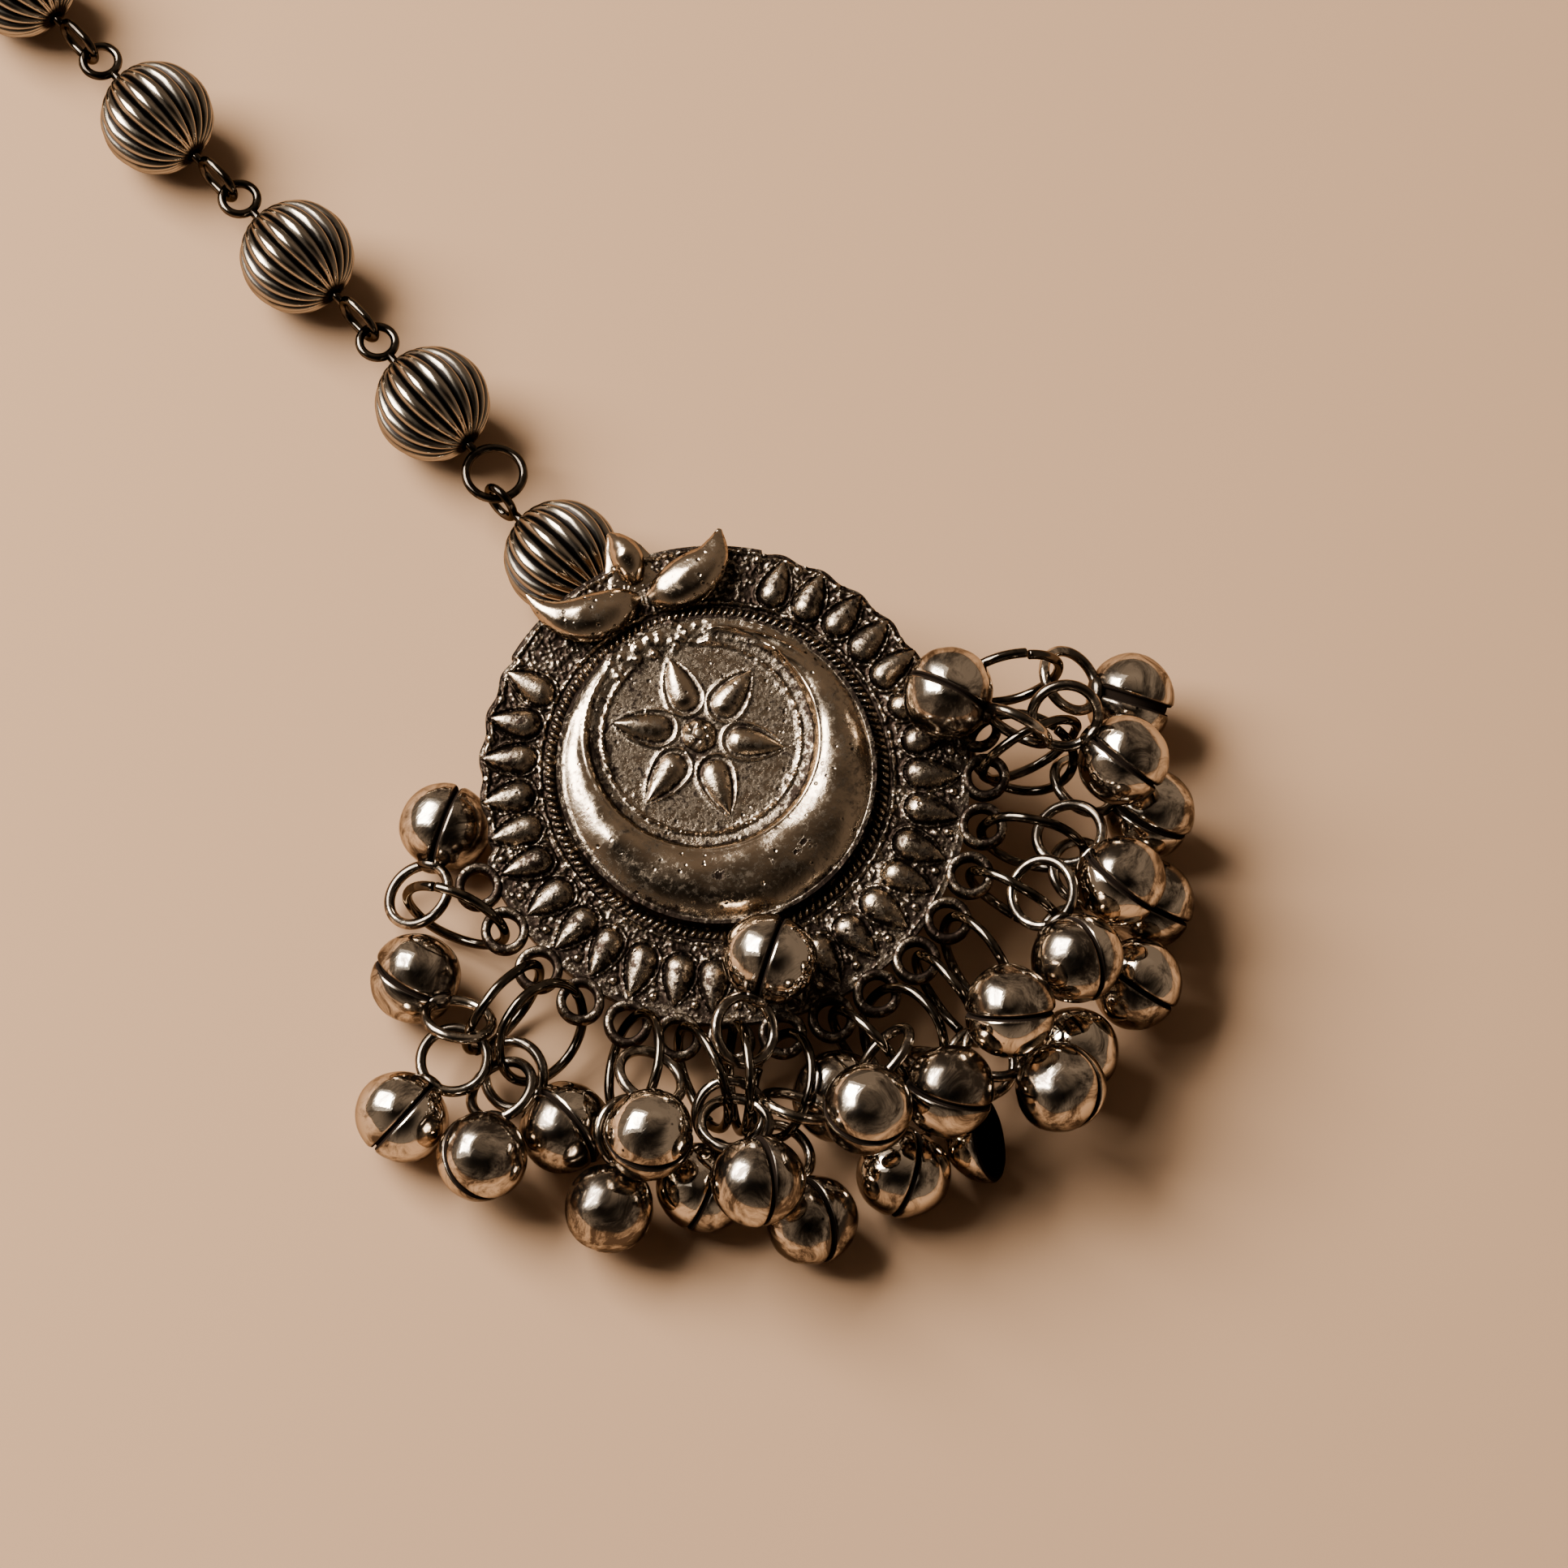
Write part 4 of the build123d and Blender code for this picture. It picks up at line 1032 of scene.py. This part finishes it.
def cup(bell, side, sizes, seed):
    """One pressed cup: from its pole the outside runs to the lip on a sphere, crosses the rounded
    lip and runs back inside. On a whole bell the first cup has a collar that reaches into the
    other. Soft dents move it inwards. Each cup is dulled at random by tarnish, and painted shade
    darkens it towards the eye and along the lip, and paints the lip and the inside near black."""
    seam, start = bell.seam, bell.start
    first = unit(np.cross(seam, [0.31, 0.82, 0.47]))
    outer = np.radians(np.concatenate([np.linspace(2, 80, 30), np.linspace(82, 90, 6)]))
    inner = np.radians(np.linspace(90, 4, 12))
    inside = sizes.bell_r - sizes.bell_wall
    lip_ahead, lip_r = [start + 0.04, start], [sizes.bell_r - 0.11, sizes.bell_r - 0.15]
    if len(bell.sides) == 2 and side > 0:
        lip_ahead += [start, -start - COLLAR_REACH, -start - COLLAR_REACH]
        lip_r += [inside - 0.03, inside - 0.06, inside - COLLAR_WALL]
        inside = inside - COLLAR_WALL
    else:
        lip_ahead += [start, start + 0.03]
        lip_r += [inside + 0.03, inside]
    rise = sizes.cup_lip + sizes.bell_r * np.cos(outer)
    beyond_lip = rise - sizes.cup_lip
    ahead = np.concatenate([start + rise, lip_ahead,
                            start + sizes.cup_lip + inside * np.cos(inner)])
    radius = np.concatenate([sizes.bell_r * np.sin(outer) - 0.09 * np.exp(-beyond_lip / 0.07),
                             lip_r, inside * np.sin(inner)])
    out = round_way(turns(76)[None, :, None], first, np.cross(seam, first))
    points = bell.middle + side * ahead[:, None, None] * seam + radius[:, None, None] * out
    away = unit(points - bell.middle)
    dents = sizes.dent * (ripple(away, 1.7, seed) + 0.2 * ripple(away, 0.6, seed + 50) - 1.2)
    points = points + dents[..., None] * away
    # random dullness of tarnish on each cup, and over it painted shade: darker towards the eye and
    # near the lip
    dull = 0.42 * np.random.default_rng(seed).uniform() ** 1.5
    shade = dull + 0.45 * ramp(0.72, 0.98, away[:len(outer)] @ bell.axis)
    shade = np.minimum(shade + 0.3 * np.exp(-rise / 0.35)[:, None], 0.64)
    # painted shade: the lip and the inside are painted near black, and the outside fades to it at
    # the lip
    deep = np.full(points.shape[:2], 0.95)
    deep[:len(outer)] = np.maximum(shade, np.exp(-beyond_lip / 0.06)[:, None])
    return points, deep


def neck(bell, sizes):
    """The solder between the cups and the eye: a squat ball, wide along the eye's wire."""
    across = np.cross(bell.axis, bell.eye_normal)
    rise = np.radians(np.linspace(-84, 84, 16))[:, None, None]
    out = round_way(turns(28)[None, :, None], 0.95 * across, 0.62 * bell.eye_normal)
    middle = bell.middle + (sizes.bell_r - 0.02) * bell.axis
    return middle + np.cos(rise) * out + 0.42 * np.sin(rise) * bell.axis


class TIKKA_OT_bells(bpy.types.Operator):
    """Build the bells: two pressed cups with a seam between them, and a wire eye"""
    bl_idname = "tikka.bells"
    bl_label = "Bells"

    def execute(self, context):
        sizes = in_mm(context.scene.tikka_fringe)
        nodes = sorted(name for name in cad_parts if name.startswith("bell_"))
        for seed, node in enumerate(nodes):
            bell = bell_frame(node, sizes)
            skin = Skin()
            for side in bell.sides:
                skin.grid(*cup(bell, side, sizes, 100 + 2 * seed + (side > 0)))
            eye = bell.middle + sizes.eye_reach * bell.axis
            path = circle(eye, bell.eye_normal, -bell.axis, sizes.eye_r, 72)
            skin.grid(tube(path, bell.eye_normal, sizes.eye_wire, 16), 0.62, loop=True)
            skin.grid(neck(bell, sizes), 0.7)
            skin.piece(node.replace("bell", "jingle_bell"), [node], "bell_silver")
        return {"FINISHED"}


class TIKKA_OT_beads(bpy.types.Operator):
    """Build the fluted beads"""
    bl_idname = "tikka.beads"
    bl_label = "Beads"

    def execute(self, context):
        sizes = in_mm(context.scene.tikka_chain)
        hole = np.arcsin(sizes.bead_hole_r / sizes.bead_r)
        lat = np.linspace(hole, pi - hole, 70)[:, None]
        angle = turns(sizes.ribs * 12)[None]
        # a rib is the absolute sine, drawn up so that it is round on top and sharp between
        groove = 1 - np.abs(np.sin(sizes.ribs / 2 * angle + 0.5 * pi)) ** 0.75
        groove = groove * ramp(0.16, 0.62, np.sin(lat))
        ends = 1 - ramp(0.14, 0.42, np.sin(lat))
        deep = np.clip(groove * 1.25 + 0.85 * ends, 0.0, 1.0)
        ways = np.stack(np.broadcast_arrays(np.cos(angle), np.sin(angle), np.cos(lat)), -1)
        for seed, name in enumerate(PIN_EYES):
            middle, along, flat = bead_frame(name)
            radius = sizes.bead_r - sizes.flute_depth * groove + 0.02 * ripple(ways, 1.4, seed)
            out = round_way(angle[..., None], flat, np.cross(along, flat))
            points = (middle + (radius * np.sin(lat))[..., None] * out
                      + (radius * np.cos(lat))[..., None] * along)
            bore = np.linspace(-1, 1, 6)[1:-1, None, None] * sizes.bead_r * cos(hole)
            inner = middle + bore * along + 0.96 * sizes.bead_hole_r * out
            skin = Skin()
            skin.grid(np.concatenate([points, inner]),
                      np.concatenate([deep, np.ones(inner.shape[:2])]), loop=True)
            skin.piece(f"fluted_bead_{name}", [f"bead_{name}"], "bead_silver", RIB_EDGE)
        return {"FINISHED"}


def bead_frame(name):
    """A bead's middle, the direction along its pin away from the casting, and the direction
    nearest to up that is square to it."""
    middle = box_middle(f"bead_{name}")
    along = middle_and_axes(node_triangles(f"pin_{name}"))[1][2]
    along = along * np.sign(along[1])
    return middle, along, unit(UP - along * along.dot(UP))


def long_loop(middle, along, across, half, radius):
    """A loop with two straight sides, as points round it from its lower end."""
    bow = radius * round_way(np.linspace(-pi / 2, pi / 2, 20)[:, None], along, across)
    return np.vstack([middle + half * along + bow, middle - half * along - bow])


class TIKKA_OT_pins(bpy.types.Operator):
    """Build the eyed wires through the beads"""
    bl_idname = "tikka.pins"
    bl_label = "Eyed pins"

    def execute(self, context):
        sizes = in_mm(context.scene.tikka_chain)
        reach = sizes.bead_r + sizes.neck
        for name, (low, high) in PIN_EYES.items():
            middle, along, flat = bead_frame(name)
            upright = np.cross(along, flat)
            skin = Skin()
            shaft = middle + np.linspace(-reach, reach, 12)[:, None] * along
            skin.grid(tube(shaft, flat, sizes.pin_wire, loop=False), 0.2)
            if low == "long":
                away = reach + sizes.long_half + sizes.eye_r
                eyes = [(upright, long_loop(middle - away * along, along,
                                            np.cross(upright, along), sizes.long_half,
                                            sizes.eye_r))]
            else:
                radius = sizes.wide_r if low == "wide" else sizes.tall_r
                normal = flat if low == "wide" else upright
                eyes = [(normal, circle(middle - (reach + radius) * along, normal, along,
                                        radius, 60))]
            normal = flat if high == "flat" else upright
            eyes.append((normal, circle(middle + (reach + sizes.eye_r) * along, normal, along,
                                        sizes.eye_r, 48)))
            for normal, path in eyes:
                skin.grid(tube(path, normal, sizes.pin_wire), 0.15, loop=True)
            skin.piece(f"eyed_pin_{name}", [f"pin_{name}"], "ring_wire")
        return {"FINISHED"}


class TIKKA_OT_hook(bpy.types.Operator):
    """Build the hair hook at the chain's end"""
    bl_idname = "tikka.hook"
    bl_label = "Hair hook"

    def execute(self, context):
        sizes = in_mm(context.scene.tikka_chain)
        low, high = (np.array(corner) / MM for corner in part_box("hook"))
        fall, sideways = heading(pi / 2, -sizes.hook_fall), heading(0.0)
        # the eye is the hook's highest and nearest end, and the shank runs through its middle
        outside = sizes.hook_eye_r + sizes.hook_wire
        eye = np.array([low[0] + sizes.hook_wire, low[1] + outside, high[2] - outside])
        bend = eye + (sizes.hook_eye_r + sizes.hook_shank) * fall + sizes.hook_bend_r * sideways
        angle = np.linspace(-pi / 2, pi / 2, 24)[:, None]
        arc = bend + sizes.hook_bend_r * round_way(angle, fall, sideways)
        shank = np.linspace(0, 1, 14, endpoint=False)[:, None]
        shank = eye + (sizes.hook_eye_r + sizes.hook_shank * shank) * fall
        back = arc[-1] - np.linspace(0, 1, 10)[1:, None] * sizes.hook_return * fall
        skin = Skin()
        skin.grid(tube(np.vstack([shank, arc, back]), np.cross(fall, sideways), sizes.hook_wire,
                       16, loop=False))
        skin.grid(tube(circle(eye, sideways, fall, sizes.hook_eye_r, 48), sideways,
                       sizes.hook_wire, 16), 0.1, loop=True)
        skin.piece("hair_hook", ["hook"], "ring_wire")
        return {"FINISHED"}


# ---- stage ---------------------------------------------------------------------------------
FLOOR_REACH = 1.6
UNDER = 0.00002                           # the floor lies this far under the lowest solid
ROOM_TONE = (1.0, 0.77, 0.57, 1.0)
WINDOW = heading(radians(117.0), radians(43.0))
GLOW = heading(radians(50.0), radians(80.0))
# degrees from their middles at which the dark round the camera and the glow start and end fading
SHADE_FADE, GLOW_FADE = (12.0, 64.0), (2.0, 40.0)
SENSOR = 36.0             # millimetres
CLIP = (0.01, 20.0)       # metres
# name, part of the window's power, colour, width, height and way from the aim, in metres
WINDOW_LIGHTS = (("window", 1.0, (1.0, 0.95, 0.88), 0.40, 0.33, 0.55),
                 ("curtain", 0.085, (1.0, 0.93, 0.85), 0.9, 0.7, 0.75))


def placed(name, data, right, up, back, place):
    """Puts a light or a camera in its place, looking away from back."""
    thing = bpy.data.objects.new(name, data)
    bpy.context.scene.collection.objects.link(thing)
    turned = np.eye(4)
    turned[:3] = np.column_stack([right, up, back, place])
    thing.matrix_world = Matrix(turned.tolist())
    return thing


def area_light(name, power, tone, width, height, place, aim):
    """A soft light of that width and height, turned to face the point it is aimed at."""
    data = bpy.data.lights.new(name, "AREA")
    data.shape = "RECTANGLE"
    data.size, data.size_y, data.energy, data.color = width, height, power, tone
    back = unit(place - aim)
    right = unit(np.cross(UP, back))
    placed(name, data, right, np.cross(back, right), back, place)


def room_light(studio, to_camera):
    """A room that is warm and dim at its sides, dark round the camera, and has a soft glow
    overhead. Each part fades with the angle from its own direction."""
    world = bpy.data.worlds.new("room")
    world.use_nodes = True
    nodes = Nodes(world.node_tree, "Generated")

    def towards(direction, near, far, at_near, at_far):
        facing = nodes.node("VectorMath", "Value", {0: nodes.places, 1: direction.tolist()},
                            operation="DOT_PRODUCT")
        return nodes.fit(facing, cos(radians(far)), cos(radians(near)), at_far, at_near,
                         "SMOOTHSTEP")

    sides = towards(to_camera, *SHADE_FADE, studio.shade, studio.room)
    glow = towards(GLOW, *GLOW_FADE, studio.ceiling, 0.0)
    background = world.node_tree.nodes["Background"]
    nodes.feed(ROOM_TONE, background.inputs["Color"])
    nodes.feed(nodes.plus(sides, glow), background.inputs["Strength"])
    return world


class TIKKA_OT_stage(bpy.types.Operator):
    """Lay the floor, set the lights and place the camera"""
    bl_idname = "tikka.stage"
    bl_label = "Stage"

    def execute(self, context):
        scene = context.scene
        studio, look = scene.tikka_studio, scene.tikka_finish
        steps = np.linspace(-FLOOR_REACH, FLOOR_REACH, 9)
        x, y = np.meshgrid(steps, steps)
        points = np.stack([x, y, np.full_like(x, min(cad_low.z, 0.0) - UNDER)], -1)
        index = np.arange(x.size).reshape(x.shape)
        faces = np.stack([index[:-1, :-1], index[:-1, 1:], index[1:, 1:], index[1:, :-1]], -1)
        mesh = bpy.data.meshes.new("floor")
        mesh.from_pydata(points.reshape(-1, 3).tolist(), [], faces.reshape(-1, 4).tolist())
        mesh.materials.append(floor_finish(look))
        floor = bpy.data.objects.new("floor", mesh)
        scene.collection.objects.link(floor)

        level_ahead = heading(studio.bearing)
        level_right = heading(studio.bearing - pi / 2)
        ahead = sin(studio.tilt) * level_ahead - cos(studio.tilt) * UP
        upward = cos(studio.tilt) * level_ahead + sin(studio.tilt) * UP
        aim = np.array([studio.aim_x, studio.aim_y, 0.0])
        scene.world = room_light(studio, -ahead)
        for name, share, tone, width, height, away in WINDOW_LIGHTS:
            area_light(name, share * studio.key_power, tone, width, height,
                       aim + away * WINDOW, aim)

        data = bpy.data.cameras.new("camera")
        data.lens, data.sensor_width = studio.lens, SENSOR
        data.clip_start, data.clip_end = CLIP
        scene.camera = placed("camera", data,
                              round_way(studio.roll, level_right, -upward),
                              round_way(studio.roll, upward, level_right),
                              -ahead, aim - studio.distance * ahead)
        return {"FINISHED"}


class TIKKA_PT_panel(bpy.types.Panel):
    """Lists the sizes, the colours and the steps that build the maang tikka"""
    bl_idname = "TIKKA_PT_panel"
    bl_label = "Maang Tikka"
    bl_space_type = "VIEW_3D"
    bl_region_type = "UI"
    bl_category = "Maang Tikka"

    def draw(self, context):
        for step in STEPS:
            self.layout.operator(step.bl_idname)
        for name, group in GROUPS.items():
            box = self.layout.box()
            box.label(text=group.__doc__)
            values = getattr(context.scene, name)
            for key in group.__annotations__:
                box.prop(values, key)


GROUPS = {
    "tikka_casting": TikkaCasting,
    "tikka_fringe": TikkaFringe,
    "tikka_chain": TikkaChain,
    "tikka_finish": TikkaFinish,
    "tikka_studio": TikkaStudio,
}
STEPS = (TIKKA_OT_casting, TIKKA_OT_lugs, TIKKA_OT_rings, TIKKA_OT_bells, TIKKA_OT_beads,
         TIKKA_OT_pins, TIKKA_OT_hook, TIKKA_OT_stage)
CLASSES = (*GROUPS.values(), *STEPS, TIKKA_PT_panel)


def register():
    for each in CLASSES:
        bpy.utils.register_class(each)
    for name, group in GROUPS.items():
        setattr(bpy.types.Scene, name, bpy.props.PointerProperty(type=group))


def unregister():
    for name in GROUPS:
        delattr(bpy.types.Scene, name)
    for each in reversed(CLASSES):
        bpy.utils.unregister_class(each)


def main():
    register()
    bpy.ops.tikka.casting()
    bpy.ops.tikka.lugs()
    bpy.ops.tikka.rings()
    bpy.ops.tikka.bells()
    bpy.ops.tikka.beads()
    bpy.ops.tikka.pins()
    bpy.ops.tikka.hook()
    bpy.ops.tikka.stage()


if __name__ == "__main__":
    main()
